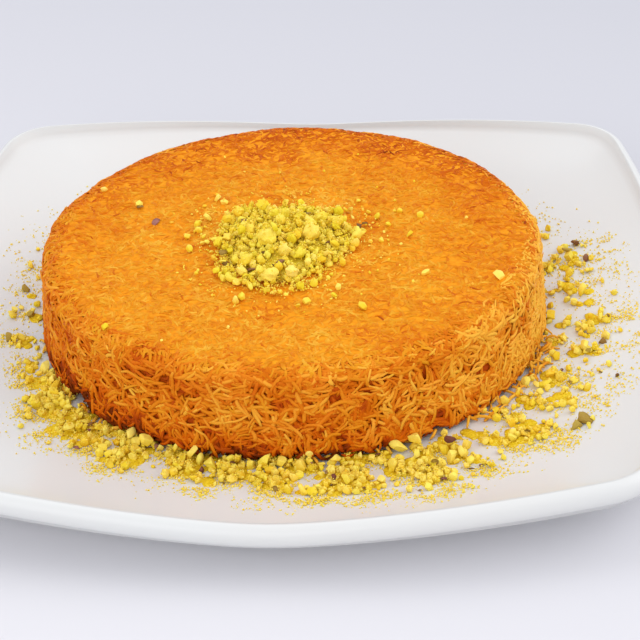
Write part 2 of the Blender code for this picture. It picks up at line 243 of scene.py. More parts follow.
@dataclass(frozen=True)
class PaletteFinish:
    """Finish of many small things, coloured by where each face lies in its UV map.

    U is the tone, from dark to bright, and V leads from the first ramp to the second. The
    colours of a ramp are evenly spaced.
    """

    name: str
    first: tuple[Triple, ...]
    second: tuple[Triple, ...]
    roughness: float
    specular: float

    def material(self) -> Material:
        """Build the material.

        Returns:
            The new material.
        """
        tree = Tree(self.name)
        place = tree.split(tree.add("ShaderNodeUVMap", uv_map=PALETTE_MAP).outputs["UV"])
        levels = np.linspace(0.0, 1.0, len(self.first))
        first = tree.ramp(place["X"], levels, self.first)
        second = tree.ramp(place["X"], levels, self.second)
        tree.colour(tree.mix(place["Y"], first, second))
        tree.shine(self.roughness, self.specular)
        return tree.material


@dataclass(frozen=True)
class CrumbFinish:
    """Finish of the solid mass under shreds or nuts: mottled, darker down its side.

    The levels are where its fine and its wide noise are dark, middling and bright. Its wide
    blotches are a number of times as wide as the fine ones. On the kunafa's mass, the darker
    side is painted shade in the gaps of the tangle.
    """

    name: str
    dark: Triple
    middle: Triple
    bright: Triple
    side: Triple
    side_from: float
    side_to: float
    blotch: float = 0.0016
    levels: Triple = (0.3, 0.5, 0.72)
    wide_times: float = 12.0
    wide_share: float = 0.35
    relief_depth: float = 0.0004
    relief_strength: float = 0.6
    roughness: float = 0.6
    specular: float = 0.06

    def material(self) -> Material:
        """Build the material.

        Returns:
            The new material.
        """
        tree = Tree(self.name)
        fine = tree.noise(self.blotch, detail=3.0)
        wide = tree.noise(self.wide_times * self.blotch, detail=2.0)
        stops = self.levels, (self.dark, self.middle, self.bright)
        mottled = tree.mix(self.wide_share, tree.ramp(fine, *stops), tree.ramp(wide, *stops))
        height = tree.split(tree.place())["Z"]
        level = tree.spread(height, From_Min=self.side_from, From_Max=self.side_to)
        # Darker down the side; on the kunafa's mass this is painted shade.
        tree.colour(tree.mix(level, self.side, mottled))
        tree.shine(self.roughness, self.specular)
        tree.relief(fine, self.relief_depth, self.relief_strength)
        return tree.material


@dataclass(frozen=True)
class GlazeFinish:
    """Glossy white glaze with a trace of unevenness.

    Clouds are its faint patches of colour, gloss its uneven shine, and waves its low relief.
    """

    name: str = "white_glaze"
    colour: Triple = (0.706, 0.714, 0.706)
    warm: Triple = (0.706, 0.704, 0.69)
    roughness: float = 0.24
    rougher: float = 0.04
    specular: float = 0.25
    coat: float = 0.08
    coat_roughness: float = 0.1
    cloud_size: float = 0.045
    cloud_from: float = 0.35
    cloud_to: float = 0.65
    gloss_size: float = 0.006
    wave_size: float = 0.02
    wave_depth: float = 0.00025
    wave_strength: float = 0.15

    def material(self) -> Material:
        """Build the material.

        Returns:
            The new material.
        """
        tree = Tree(self.name)
        clouds = tree.noise(self.cloud_size, detail=2.0)
        cloud = tree.spread(clouds, From_Min=self.cloud_from, From_Max=self.cloud_to)
        tree.colour(tree.mix(cloud, self.colour, self.warm))
        gloss = tree.noise(self.gloss_size, detail=3.0)
        rough = tree.spread(gloss, To_Min=self.roughness, To_Max=self.roughness + self.rougher)
        tree.join(rough, tree.shader.inputs["Roughness"])
        tree.shine(self.roughness, self.specular)
        tree.give(tree.shader, Coat_Weight=self.coat, Coat_Roughness=self.coat_roughness)
        tree.relief(tree.noise(self.wave_size, detail=1.0), self.wave_depth, self.wave_strength)
        return tree.material


@dataclass(frozen=True)
class TableFinish:
    """Plain pale matt table top, with a faint painted glow that lightens its shadows, and painted
    darker and bluer towards its back right, as light that falls off.

    It changes from front_y to back_y; slant is how much of X is added to Y there.
    """

    name: str = "pale_table"
    # Painted falloff of light: the front colour is lighter, the back darker and bluer.
    front: Triple = (0.645, 0.637, 0.667)
    back: Triple = (0.413, 0.421, 0.469)
    # Painted glow that lightens the table's shadows.
    shadow_lift_glow: Triple = (0.095, 0.095, 0.1)
    front_y: float = -0.16
    back_y: float = 0.44
    slant: float = 0.35
    roughness: float = 0.7
    specular: float = 0.1

    def material(self) -> Material:
        """Build the material.

        Returns:
            The new material.
        """
        tree = Tree(self.name)
        place = tree.split(tree.place())
        slanted = tree.add("ShaderNodeMath", operation="MULTIPLY_ADD")
        slanted.inputs[1].default_value = self.slant
        tree.join(place["X"], slanted.inputs[0])
        tree.join(place["Y"], slanted.inputs[2])
        # Painted falloff of light: darker and bluer towards the back right.
        depth = tree.spread(slanted.outputs["Value"], From_Min=self.front_y, From_Max=self.back_y)
        tree.colour(tree.mix(depth, self.front, self.back))
        tree.shine(self.roughness, self.specular)
        # Painted light: a faint glow that lightens the shadows on the table.
        tree.give(tree.shader, Emission_Strength=1.0, Emission_Color=(*self.shadow_lift_glow, 1.0))
        return tree.material


SHRED_FINISH = PaletteFinish(
    name="baked_shreds",
    first=(
        (0.14, 0.02, 0.002), (0.42, 0.05, 0.002), (0.63, 0.115, 0.002), (0.77, 0.21, 0.01),
        (0.9, 0.38, 0.035),
    ),
    second=(
        (0.17, 0.03, 0.003), (0.48, 0.085, 0.003), (0.675, 0.188, 0.003), (0.75, 0.335, 0.013),
        (0.88, 0.53, 0.06),
    ),
    roughness=0.45,
    specular=0.05,
)
NUT_FINISH = PaletteFinish(
    name="chopped_pistachio",
    first=(
        (0.25, 0.17, 0.003), (0.49, 0.39, 0.006), (0.69, 0.56, 0.012), (0.83, 0.68, 0.032),
        (0.91, 0.79, 0.11),
    ),
    second=(
        (0.33, 0.13, 0.003), (0.61, 0.3, 0.006), (0.82, 0.48, 0.014), (0.92, 0.62, 0.042),
        (0.96, 0.78, 0.17),
    ),
    roughness=0.65,
    specular=0.06,
)
POWDER_FINISH = CrumbFinish(
    name="pistachio_powder",
    dark=(0.52, 0.31, 0.006),
    middle=(0.8, 0.56, 0.016),
    bright=(0.9, 0.7, 0.05),
    side=(0.46, 0.26, 0.012),
    side_from=-0.1,
    side_to=0.0,
    blotch=0.0006,
)
SKIN_FINISH = PaletteFinish(
    name="pistachio_skin",
    first=((0.06, 0.018, 0.012), (0.2, 0.07, 0.05), (0.42, 0.19, 0.17)),
    second=((0.09, 0.045, 0.006), (0.3, 0.18, 0.02), (0.52, 0.38, 0.08)),
    roughness=0.7,
    specular=0.05,
)


# Shapes


def seeded(seed: int) -> Draw:
    """Field of a dataclass that draws random numbers from a seed."""
    return field(default_factory=lambda: np.random.default_rng(seed))


@dataclass(eq=False)
class Swell:
    """Smooth unevenness, a sum of waves that run in all directions.

    The lengths bound its waves, as shares of its size.
    """

    size: float
    seed: int
    height: float = 1.0
    waves: int = 14
    lengths: Pair = (0.7, 1.6)
    steps: Array = field(init=False)
    starts: Array = field(init=False)

    def __post_init__(self) -> None:
        """Draw the waves."""
        draw = np.random.default_rng(self.seed)
        heading = draw.normal(size=(self.waves, 3))
        heading /= np.linalg.norm(heading, axis=1, keepdims=True)
        length = self.size * draw.uniform(*self.lengths, self.waves)
        self.steps = heading * (math.tau / length)[:, None]
        self.starts = draw.uniform(0.0, math.tau, self.waves)

    def at(self, points: Array) -> Array:
        """Height at points whose last axis is x, y and z."""
        return self.height * np.sin(points @ self.steps.T + self.starts).sum(-1) / math.sqrt(self.waves / 2)


@dataclass(frozen=True)
class PlateForm:
    """Sizes and surface of the square plate with bulging sides."""

    half: float = 0.1075
    side_radius: float = 0.318
    corner_radius: float = 0.0175
    well_height: float = 0.007
    well_share: float = 0.66
    well_power: float = 3.0
    well_ease_from: float = 0.6
    rim_rise: float = 0.0078
    corner_rise: float = 0.0062
    corner_spread: float = 1.34
    corner_ease: float = 0.12
    rim_curve: float = 1.7
    rim_end_share: float = 0.97
    lip_thickness: float = 0.0066
    thickness: float = 0.0047
    foot_share: float = 0.52
    foot_width: float = 0.005
    foot_taper: float = 0.0012

    @property
    def back(self) -> float:
        """Distance from the plate's centre back to that of a side's arc."""
        return self.side_radius - self.half

    @property
    def corner_centre(self) -> float:
        """Distance along X and along Y of the corner arc's centre.

        Returns:
            The distance.
        """
        span = self.side_radius - self.corner_radius
        return (math.sqrt(2.0 * span**2 - self.back**2) - self.back) / 2.0

    @property
    def corner_start(self) -> float:
        """Polar angle where a side's arc meets the corner's arc.

        Returns:
            The angle, from the side's middle.
        """
        turn = math.atan2(self.corner_centre, self.corner_centre + self.back)
        return math.atan2(self.side_radius * math.sin(turn), self.side_radius * math.cos(turn) - self.back)

    def reach(self, angle: Array) -> Array:
        """Distance from the centre to the outline.

        Args:
            angle: polar angles.

        Returns:
            The distance at each angle.
        """
        folded = np.abs((angle + math.pi / 4.0) % (math.pi / 2.0) - math.pi / 4.0)
        side = np.sqrt(self.side_radius**2 - (self.back * np.sin(folded)) ** 2) - self.back * np.cos(folded)
        inward = self.corner_centre * (np.cos(folded) - np.sin(folded))
        outward = self.corner_centre * (np.cos(folded) + np.sin(folded))
        corner = outward + np.sqrt(np.maximum(self.corner_radius**2 - inward**2, 0.0))
        return np.where(folded < self.corner_start, side, corner)

    def climb(self, x: Array, y: Array) -> Array:
        """How far each point is on its way from the well to the rim.

        Args:
            x: places along X.
            y: places along Y.

        Returns:
            0 in the well to 1 at the rim.
        """
        angle, away = np.arctan2(y, x), np.hypot(x, y)
        reach = self.reach(angle)
        powers = np.abs(np.cos(angle)) ** self.well_power + np.abs(np.sin(angle)) ** self.well_power
        rounder = self.half / powers ** (1.0 / self.well_power)
        part = np.clip((away / reach - self.well_ease_from) / (1.0 - self.well_ease_from), 0.0, 1.0)
        share = away / (rounder + (reach - rounder) * part**2 * (3.0 - 2.0 * part))
        return np.maximum(0.0, (share - self.well_share) / (1.0 - self.well_share))

    def top(self, x: Array, y: Array) -> Array:
        """Height of the upper surface above the table.

        Args:
            x: places along X.
            y: places along Y.

        Returns:
            The height at each place.
        """
        corner = np.hypot(x * y / self.corner_centre**2 / self.corner_spread, self.corner_ease)
        rise = self.rim_rise + self.corner_rise * (corner - self.corner_ease)
        return self.well_height + self.climb(x, y) ** self.rim_curve * rise

    def underside(self, x: Array, y: Array) -> Array:
        """Height of the lower surface outside the foot."""
        return self.top(x, y) - self.thickness - (self.lip_thickness - self.thickness) * self.climb(x, y)


@dataclass(frozen=True)
class DiscForm:
    """Sizes and skin of the pressed disc, whose side runs into a rounded shoulder."""

    base: float = 0.0073
    radius: float = 0.0703
    top_radius: float = 0.069
    height: float = 0.0267
    shoulder_width: float = 0.0062
    shoulder_drop: float = 0.0042
    cover: float = 0.00105

    @property
    def side(self) -> float:
        """Way up the side to where the shoulder starts."""
        return self.height - self.shoulder_drop

    @property
    def full(self) -> float:
        """Way up the side and over the shoulder to the level top."""
        return self.side + math.pi / 4.0 * (self.shoulder_width + self.shoulder_drop)

    @property
    def flat_radius(self) -> float:
        """Radius of the level top."""
        return self.top_radius - self.shoulder_width

    @property
    def level(self) -> float:
        """Height of the level top above the table."""
        return self.base + self.height

    def skin(self, angle: Array, way: Array, lift: Array | float = 0.0) -> tuple[Array, Array]:
        """Points on the outline and its outward normals.

        Args:
            angle: polar angle of each point.
            way: distance up the side, over the shoulder and in over the top.
            lift: distance of each point outside the outline.

        Returns:
            The points and the normals, each with a last axis of x, y and z.
        """
        lean = (self.radius - self.top_radius) / self.side
        middle_radius = (self.shoulder_width + self.shoulder_drop) / 2.0
        turn = np.clip((way - self.side) / middle_radius, 0.0, math.pi / 2.0)
        on_side = way <= self.side
        radius = np.where(
            on_side,
            self.radius - lean * way,
            self.top_radius - self.shoulder_width * (1.0 - np.cos(turn)),
        )
        radius = radius - np.maximum(0.0, way - self.full)
        height = np.where(on_side, way, self.side + self.shoulder_drop * np.sin(turn))
        out = np.where(on_side, 1.0, self.shoulder_drop * np.cos(turn))
        up = np.where(on_side, lean, self.shoulder_width * np.sin(turn))
        size = np.hypot(out, up)
        out, up = out / size, up / size
        radius = radius + out * lift
        cos, sin = np.cos(angle), np.sin(angle)
        points = np.stack([radius * cos, radius * sin, self.base + height + up * lift], axis=-1)
        return points, np.stack([out * cos, out * sin, up], axis=-1)

    def draped(self, x: Array, y: Array) -> tuple[Array, Array]:
        """Polar angle and way of points on the top that is rolled out flat past its shoulder."""
        return np.arctan2(y, x), self.full + self.flat_radius - np.hypot(x, y)


PLATE = PlateForm()
DISC = DiscForm()


def lofted(rings: list[Array]) -> BMesh:
    """Closed skin through rings of points, by extruding one ring of edges.

    Args:
        rings: arrays of as many points each, in order.

    Returns:
        The new mesh, with its normals outwards.
    """
    bm = bmesh.new()
    count = len(rings[0])
    bmesh.ops.create_circle(bm, cap_ends=True, segments=count, radius=1.0)
    bm.verts.ensure_lookup_table()
    verts = list(bm.verts)
    edges = [bm.edges.get((verts[i - 1], verts[i])) for i in range(count)]
    for vert, point in zip(verts, rings[0]):
        vert.co = point
    for ring in rings[1:]:
        made = bmesh.ops.extrude_edge_only(bm, edges=edges)["geom"]
        fresh = {item for item in made if isinstance(item, BMVert)}
        verts = [
            next(other for edge in vert.link_edges if (other := edge.other_vert(vert)) in fresh)
            for vert in verts
        ]
        for vert, point in zip(verts, ring):
            vert.co = point
        edges = [bm.edges.get((verts[i - 1], verts[i])) for i in range(count)]
    bmesh.ops.edgeloop_fill(bm, edges=edges)
    bmesh.ops.recalc_face_normals(bm, faces=bm.faces)
    return bm


def new_object(name: str, mesh: bpy.types.Mesh, material: Material, sharp: float | None = None) -> Piece:
    """Smooth shaded object in the scene, with one material.

    Args:
        name: of the object.
        mesh: its mesh.
        material: its finish.
        sharp: angle over which edges stay sharp, if any do.

    Returns:
        The object, at the origin.
    """
    mesh.materials.append(material)
    mesh.shade_smooth()
    if sharp is not None:
        mesh.set_sharp_from_angle(angle=sharp)
    made = bpy.data.objects.new(name, mesh)
    bpy.context.scene.collection.objects.link(made)
    return made


def object_of(name: str, bm: BMesh, material: Material) -> Piece:
    """Object made from a bmesh, which it frees.

    Args:
        name: of the object.
        bm: its mesh.
        material: its finish.

    Returns:
        The object, at the origin.
    """
    mesh = bpy.data.meshes.new(name)
    bm.to_mesh(mesh)
    bm.free()
    return new_object(name, mesh, material)


@dataclass
class Template:
    """Small mesh kept as arrays, so that it can be repeated."""

    points: Array
    loops: Array
    sizes: Array
    spots: Array

    @classmethod
    def taken(cls, bm: BMesh) -> "Template":
        """Template from a bmesh, which it frees; each face has a small spot of the palette.

        Args:
            bm: the small mesh.

        Returns:
            The template.
        """
        bm.verts.index_update()
        points = np.array([vert.co[:] for vert in bm.verts])
        loops = np.array([loop.vert.index for face in bm.faces for loop in face.loops])
        sizes = np.array([len(face.verts) for face in bm.faces])
        spots = []
        for number, face in enumerate(bm.faces):
            u = 0.5 + 0.5 * math.sin(SPOT_STEPS[0] * number)
            v = 0.5 + 0.5 * math.cos(SPOT_STEPS[1] * number)
            for i in range(len(face.verts)):
                turn = math.tau * i / len(face.verts)
                spots.append((u + SPOT_REACH * math.cos(turn), v + SPOT_REACH * math.sin(turn)))
        bm.free()
        return cls(points, loops, sizes, np.array(spots))


@dataclass(frozen=True)
class CutForm:
    """Flat cuts through a ball: its own unevenness, and how far out the cuts are."""

    shapes: int = 10
    seed_step: int = 100
    octahedron: float = 1.15
    uneven: Pair = (0.82, 1.14)
    away: Pair = (0.35, 0.75)
    tolerance: float = 0.02
    merged: float = 0.06


@dataclass(frozen=True)
class BumpForm:
    """Flats and bumps on a ball: how many, and from what range each is drawn.

    Away is how far out the flats are, rise how high the bumps are and width how wide. Radius is
    the ball's own, and grit how far single points stand in or out.
    """

    seed: int
    flats: int
    away: Pair
    bumps: int
    rise: Pair
    width: float
    radius: float
    grit: float
    shapes: int = 8


@dataclass(frozen=True)
class FlakeForm:
    """Curled flake: its curl, ragged outline, rounded corners, and width to length.

    Level is how much nearer to level than any way up the flakes lie.
    """

    shapes: int = 4
    seed: int = 40
    level: float = 3.5
    tones: Pair = (0.25, 0.85)
    spread: Pair = (0.2, 0.08)
    curl: Pair = (0.1, 0.35)
    ragged: Pair = (0.75, 1.1)
    rounded: float = 0.3
    width: float = 0.6
    wave: float = 0.06
    thickness: float = 0.14


CUT = CutForm()
CHUNK = BumpForm(
    seed=90, flats=9, away=(0.36, 0.66), bumps=12, rise=(-0.12, 0.09), width=0.12, radius=1.17, grit=0.03
)
CLUMP = BumpForm(
    seed=70, flats=0, away=(1.0, 1.0), bumps=40, rise=(0.05, 0.24), width=0.08, radius=0.6, grit=0.04
)
FLAKE = FlakeForm()


def tube_template(sides: int, steps: int) -> Template:
    """Closed tube of unit radius along Z, with a ring at every whole height.

    Args:
        sides: points a ring.
        steps: lengths between rings.

    Returns:
        The template; its spots run along the tube in U and round it in V.
    """
    turns = math.tau / sides * np.arange(sides)
    circle = -np.sin(turns), np.cos(turns)
    bm = lofted([np.column_stack([*circle, np.full(sides, level)]) for level in range(steps + 1)])
    spots = []
    cap_spot = 0.4
    for face in bm.faces:
        rings = {round(vert.co.z) for vert in face.verts}
        rounds = [round(math.atan2(vert.co.y, vert.co.x) / math.tau * sides) % sides for vert in face.verts]
        for vert, place in zip(face.verts, rounds):
            if len(rings) == 1:
                spots.append(((vert.co.z + cap_spot * vert.co.x) / steps, 0.5 + cap_spot * vert.co.y))
            else:
                wraps = place == 0 and sides - 1 in rounds
                spots.append((vert.co.z / steps, (sides if wraps else place) / sides))
    made = Template.taken(bm)
    made.spots = np.array(spots)
    return made


def heading(draw: Draw) -> Vector:
    """Random direction, of length one."""
    return Vector(draw.normal(size=3)).normalized()


def chopped_template(subdivisions: int, cuts: int, seed: int) -> Template:
    """Angular chopped piece of about unit radius.

    Args:
        subdivisions: of the ball that it is cut from; 0 for an octahedron.
        cuts: number of flat cuts.
        seed: for the cuts.

    Returns:
        The template.
    """
    draw = np.random.default_rng(seed)
    bm = bmesh.new()
    if subdivisions:
        bmesh.ops.create_icosphere(bm, subdivisions=subdivisions, radius=1.0)
    else:
        bmesh.ops.create_uvsphere(bm, u_segments=4, v_segments=2, radius=CUT.octahedron)
    for vert in bm.verts:
        vert.co *= draw.uniform(*CUT.uneven)
    for _ in range(cuts):
        normal = heading(draw)
        made = bmesh.ops.bisect_plane(
            bm,
            geom=bm.verts[:] + bm.edges[:] + bm.faces[:],
            dist=CUT.tolerance,
            plane_co=normal * draw.uniform(*CUT.away),
            plane_no=normal,
            clear_outer=True,
        )
        cut = [item for item in made["geom_cut"] if isinstance(item, BMEdge)]
        if cut:
            bmesh.ops.edgeloop_fill(bm, edges=cut)
    bmesh.ops.remove_doubles(bm, verts=bm.verts, dist=CUT.merged)
    bmesh.ops.recalc_face_normals(bm, faces=bm.faces)
    middle = sum((vert.co for vert in bm.verts), Vector()) / len(bm.verts)
    bmesh.ops.translate(bm, vec=-middle, verts=bm.verts)
    return Template.taken(bm)


def bumpy_template(form: BumpForm, seed: int) -> Template:
    """Chopped piece or clump of about unit radius, with flats, dents and bumps.

    Args:
        form: ranges of its flats and bumps.
        seed: for both.

    Returns:
        The template.
    """
    draw = np.random.default_rng(seed)
    bm = bmesh.new()
    bmesh.ops.create_icosphere(bm, subdivisions=3, radius=1.0)
    flats = [(heading(draw), draw.uniform(*form.away)) for _ in range(form.flats)]
    bumps = [(heading(draw), draw.uniform(*form.rise)) for _ in range(form.bumps)]
    for vert in bm.verts:
        out = vert.co.normalized()
        for normal, away in flats:
            vert.co -= normal * max(0.0, vert.co.dot(normal) - away)
        rise = sum(
            height * math.exp(-((out - middle).length_squared) / form.width) for middle, height in bumps
        )
        vert.co *= form.radius + rise + draw.uniform(-form.grit, form.grit)
    return Template.taken(bm)


def skin_template(seed: int) -> Template:
    """Curled flake of nut skin, about one unit across.

    Args:
        seed: for its curl and outline.

    Returns:
        The template.
    """
    draw = np.random.default_rng(seed)
    bm = bmesh.new()
    bmesh.ops.create_grid(bm, x_segments=3, y_segments=2, size=1.0)
    curl = draw.uniform(*FLAKE.curl)
    for vert in bm.verts:
        corner = 1.0 - FLAKE.rounded * abs(vert.co.x * vert.co.y)
        vert.co.x *= corner * draw.uniform(*FLAKE.ragged)
        vert.co.y *= FLAKE.width * corner * draw.uniform(*FLAKE.ragged)
        vert.co.z = curl * (1.0 - vert.co.x**2) + draw.uniform(-FLAKE.wave, FLAKE.wave)
    bmesh.ops.solidify(bm, geom=bm.verts[:] + bm.edges[:] + bm.faces[:], thickness=FLAKE.thickness)
    bmesh.ops.recalc_face_normals(bm, faces=bm.faces)
    return Template.taken(bm)


@dataclass
class JoinedMesh:
    """One mesh joined from many copies of templates, with the palette's UV map."""

    points: list[Array] = field(default_factory=list)
    loops: list[Array] = field(default_factory=list)
    sizes: list[Array] = field(default_factory=list)
    places: list[Array] = field(default_factory=list)
    count: int = 0

    def add(self, template: Template, points: Array, tone: Array, warmth: Array, spread: Pair) -> None:
        """Add copies of a template.

        Args:
            template: the mesh that is repeated.
            points: its moved points, one row a copy.
            tone: U in the palette of each copy, or of each point of each copy.
            warmth: V of each copy.
            spread: how much of the palette a copy covers along U and along V.
        """
        copies, corners = points.shape[:2]
        starts = self.count + corners * np.arange(copies)
        self.points.append(points.reshape(-1, 3))
        self.loops.append((template.loops[None, :] + starts[:, None]).ravel())
        self.sizes.append(np.tile(template.sizes, copies))
        tones = tone[:, None] if tone.ndim == 1 else tone[:, template.loops]
        u = tones + spread[0] * (template.spots[None, :, 0] - 0.5)
        v = warmth[:, None] + spread[1] * (template.spots[None, :, 1] - 0.5)
        places = np.clip(np.stack([u, v], -1), PALETTE_EDGE, 1.0 - PALETTE_EDGE)
        self.places.append(places.reshape(-1, 2))
        self.count += copies * corners

    def made(self, name: str, material: Material, sharp: float | None = None) -> Piece:
        """Make one mesh of all the copies.

        Args:
            name: of the object.
            material: its finish.
            sharp: angle over which edges stay sharp, if any do.

        Returns:
            The object, at the origin.
        """
        points, loops = np.concatenate(self.points), np.concatenate(self.loops)
        sizes = np.concatenate(self.sizes)
        mesh = bpy.data.meshes.new(name)
        mesh.vertices.add(len(points))
        mesh.vertices.foreach_set("co", points.astype(np.float32).ravel())
        mesh.loops.add(len(loops))
        mesh.loops.foreach_set("vertex_index", loops.astype(np.int32))
        mesh.polygons.add(len(sizes))
        starts = np.concatenate([[0], np.cumsum(sizes)[:-1]])
        mesh.polygons.foreach_set("loop_start", starts.astype(np.int32))
        mesh.polygons.foreach_set("loop_total", sizes.astype(np.int32))
        mesh.update(calc_edges=True)
        places = mesh.uv_layers.new(name=PALETTE_MAP)
        places.data.foreach_set("uv", np.concatenate(self.places).astype(np.float32).ravel())
        mesh.validate()
        return new_object(name, mesh, material, sharp)


def dress(piece: Piece, slot: Slot, *nodes: Node) -> None:
    """Let a piece ride the part's body, and hide the nodes that it stands for.

    Args:
        piece: the object.
        slot: not used.
        nodes: CAD nodes that it replaces.
    """
    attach(piece, BODY)
    for node in nodes:
        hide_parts(node.value)
    triangles = sum(len(face.vertices) - 2 for face in piece.data.polygons)
    logging.info("%s: %d triangles", piece.name, triangles)


def unit(vectors: Array) -> Array:
    """Vectors at length one."""
    return vectors / np.maximum(np.linalg.norm(vectors, axis=-1, keepdims=True), 1e-12)


def turned(draw: Draw, count: int) -> Array:
    """Random turns.

    Args:
        draw: random numbers.
        count: number of turns.

    Returns:
        One matrix a turn.
    """
    w, x, y, z = unit(draw.normal(size=(count, 4))).T
    rows = (
        (1 - 2 * (y * y + z * z), 2 * (x * y - z * w), 2 * (x * z + y * w)),
        (2 * (x * y + z * w), 1 - 2 * (x * x + z * z), 2 * (y * z - x * w)),
        (2 * (x * z - y * w), 2 * (y * z + x * w), 1 - 2 * (x * x + y * y)),
    )
    return np.moveaxis(np.array(rows), 2, 0)


def spun(angle: Array) -> Array:
    """Turns about the vertical, as matrices."""
    cos, sin, zero, one = np.cos(angle), np.sin(angle), np.zeros_like(angle), np.ones_like(angle)
    return np.moveaxis(np.array([[cos, -sin, zero], [sin, cos, zero], [zero, zero, one]]), 2, 0)


def ring_numbers(template: Template) -> Array:
    """Which ring of its tube each point belongs to."""
    return np.rint(template.points[:, 2]).astype(int)


def centred(starts: Array, walks: Array) -> Array:
    """Walks, moved so that the middle of each lies at its start."""
    return starts[:, None] + walks - walks.mean(axis=1, keepdims=True)


def tubes(template: Template, paths: Array, normals: Array, wide: Array, thick: Array) -> Array:
    """Points of tubes that follow paths.

    Args:
        template: tube with as many rings as a path has points.
        paths: points of each path.
        normals: outward normals along each path.
        wide: half width of each tube across its path, along the surface.
        thick: half thickness of each, along the normals.

    Returns:
        The points, one row a tube.
    """
    along = unit(np.gradient(paths, axis=1))
    across = unit(np.cross(along, normals))
    lift = np.cross(across, along)
    rings = ring_numbers(template)
    steps = rings.max()
    ends = np.abs(2.0 * np.arange(steps + 1) / steps - 1.0)
    taper = 1.0 - TUBE_TAPER * ends**TUBE_TAPER_POWER
    side = template.points[:, 0] * taper[rings]
    rise = template.points[:, 1] * taper[rings]
    return (
        paths[:, rings]
        + across[:, rings] * (side[None, :] * wide[:, None])[..., None]
        + lift[:, rings] * (rise[None, :] * thick[:, None])[..., None]
    )


# Plate


@dataclass
class Plate:
    """Square porcelain plate on a foot ring.

    The foot's profile gives how far each ring leans out, in tapers, and how high it is, in
    heights of the recess. The floor and the well are shares of the outline.
    """

    form: PlateForm = PLATE
    floor_share: float = 0.25
    foot_profile: Rows = ((1.0, 1.0), (0.6, 0.55), (0.0, 0.12), (-0.3, 0.0))
    well_shares: tuple[float, ...] = (0.4, 0.2)
    side_steps: int = 36
    corner_steps: int = 20
    rim_steps: int = 18
    lip_steps: int = 12
    finish: GlazeFinish = GlazeFinish()

    def angles(self) -> Array:
        """Polar angles of the outline's points, closer together round the corners.

        Returns:
            The angles, all the way round.
        """
        start = self.form.corner_start
        side = np.linspace(-start, start, self.side_steps, endpoint=False)
        corner = np.linspace(start, math.pi / 2.0 - start, self.corner_steps, endpoint=False)
        quarter = np.concatenate([side, corner])
        return np.concatenate([quarter + quadrant * math.pi / 2.0 for quadrant in range(4)])

    def ring(self, share: float, height: Heights) -> Array:
        """Ring inside the outline.

        Args:
            share: of the outline.
            height: turns x and y into z.

        Returns:
            The ring's points.
        """
        angles = self.angles()
        reach = share * self.form.reach(angles)
        x, y = reach * np.cos(angles), reach * np.sin(angles)
        return np.stack([x, y, height(x, y)], axis=-1)

    def lip(self, turn: float) -> Array:
        """Ring of the rounded lip.

        Args:
            turn: way round the lip, from 0 at its top to pi at its underside.

        Returns:
            The ring's points.
        """
        half = self.form.lip_thickness / 2.0
        angles = self.angles()
        edge = self.form.reach(angles)
        cos, sin = np.cos(angles), np.sin(angles)
        reach = edge - half + half * math.sin(turn)
        level = self.form.top(edge * cos, edge * sin) - half + half * math.cos(turn)
        return np.stack([reach * cos, reach * sin, level], axis=-1)

    def build(self) -> None:
        """Make the plate from its foot ring round the lip to the well."""
        form = self.form
        recess = form.well_height - form.thickness
        foot_in = form.foot_share - form.foot_width / form.half
        taper = form.foot_taper / form.half

        def flat(level: float) -> Heights:
            """Height of a level ring, as ring takes it."""
            return lambda x, y: np.full_like(x, level)

        foot = [(foot_in - out * taper, up * recess) for out, up in self.foot_profile]
        foot += [(form.foot_share + out * taper, up * recess) for out, up in self.foot_profile[::-1]]
        rings = [self.ring(self.floor_share, flat(recess))]
        rings += [self.ring(share, flat(level)) for share, level in foot]
        shares = np.linspace(form.well_ease_from, form.rim_end_share, self.rim_steps)
        rings += [self.ring(share, form.underside) for share in shares]
        rings += [self.lip(turn) for turn in np.linspace(math.pi, 0.0, self.lip_steps + 1)]
        rings += [self.ring(share, form.top) for share in shares[::-1]]
        rings += [self.ring(share, form.top) for share in self.well_shares]
        made = object_of("plate_glazed", lofted(rings), self.finish.material())
        dress(made, Slot.PORCELAIN, Node.PLATE)


# Kunafa


@dataclass(frozen=True)
class LayerForm:
    """One layer of the tangle on the side.

    Low and high bound how far its shreds stand out, tone is their place in the palette, lower
    in the deeper layers as painted shade, and foot_shade is how much painted shade darkens its
    foot. A shred that runs more than hollow_limit into a hollow, which is painted dark as
    shade, is left out. Girth is how much thicker its shreds are, and loose_share how many of
    them have an end that sticks out.
    """

    count: int
    low: float
    high: float
    tone: float
    foot_shade: float
    hollow_limit: float
    sides: int = 5
    steps: int = 5
    bunch: int = 3
    girth: float = 1.0
    loose_share: float = 0.0


class Layer(Enum):
    """Layers of the tangle on the side, from the inside out."""

    # The deeper layers have darker tones and more foot shade: painted shade inside the tangle.
    DEEP = LayerForm(3750, -0.95 * MM, -0.7 * MM, 0.53, 1.35, 1.0, sides=4, steps=4, bunch=1, girth=1.45)
    MIDDLE = LayerForm(2700, -0.72 * MM, -0.48 * MM, 0.67, 1.0, 0.78)
    OUTER = LayerForm(2900, -0.5 * MM, -0.28 * MM, 0.785, 0.72, 0.37, loose_share=0.07)


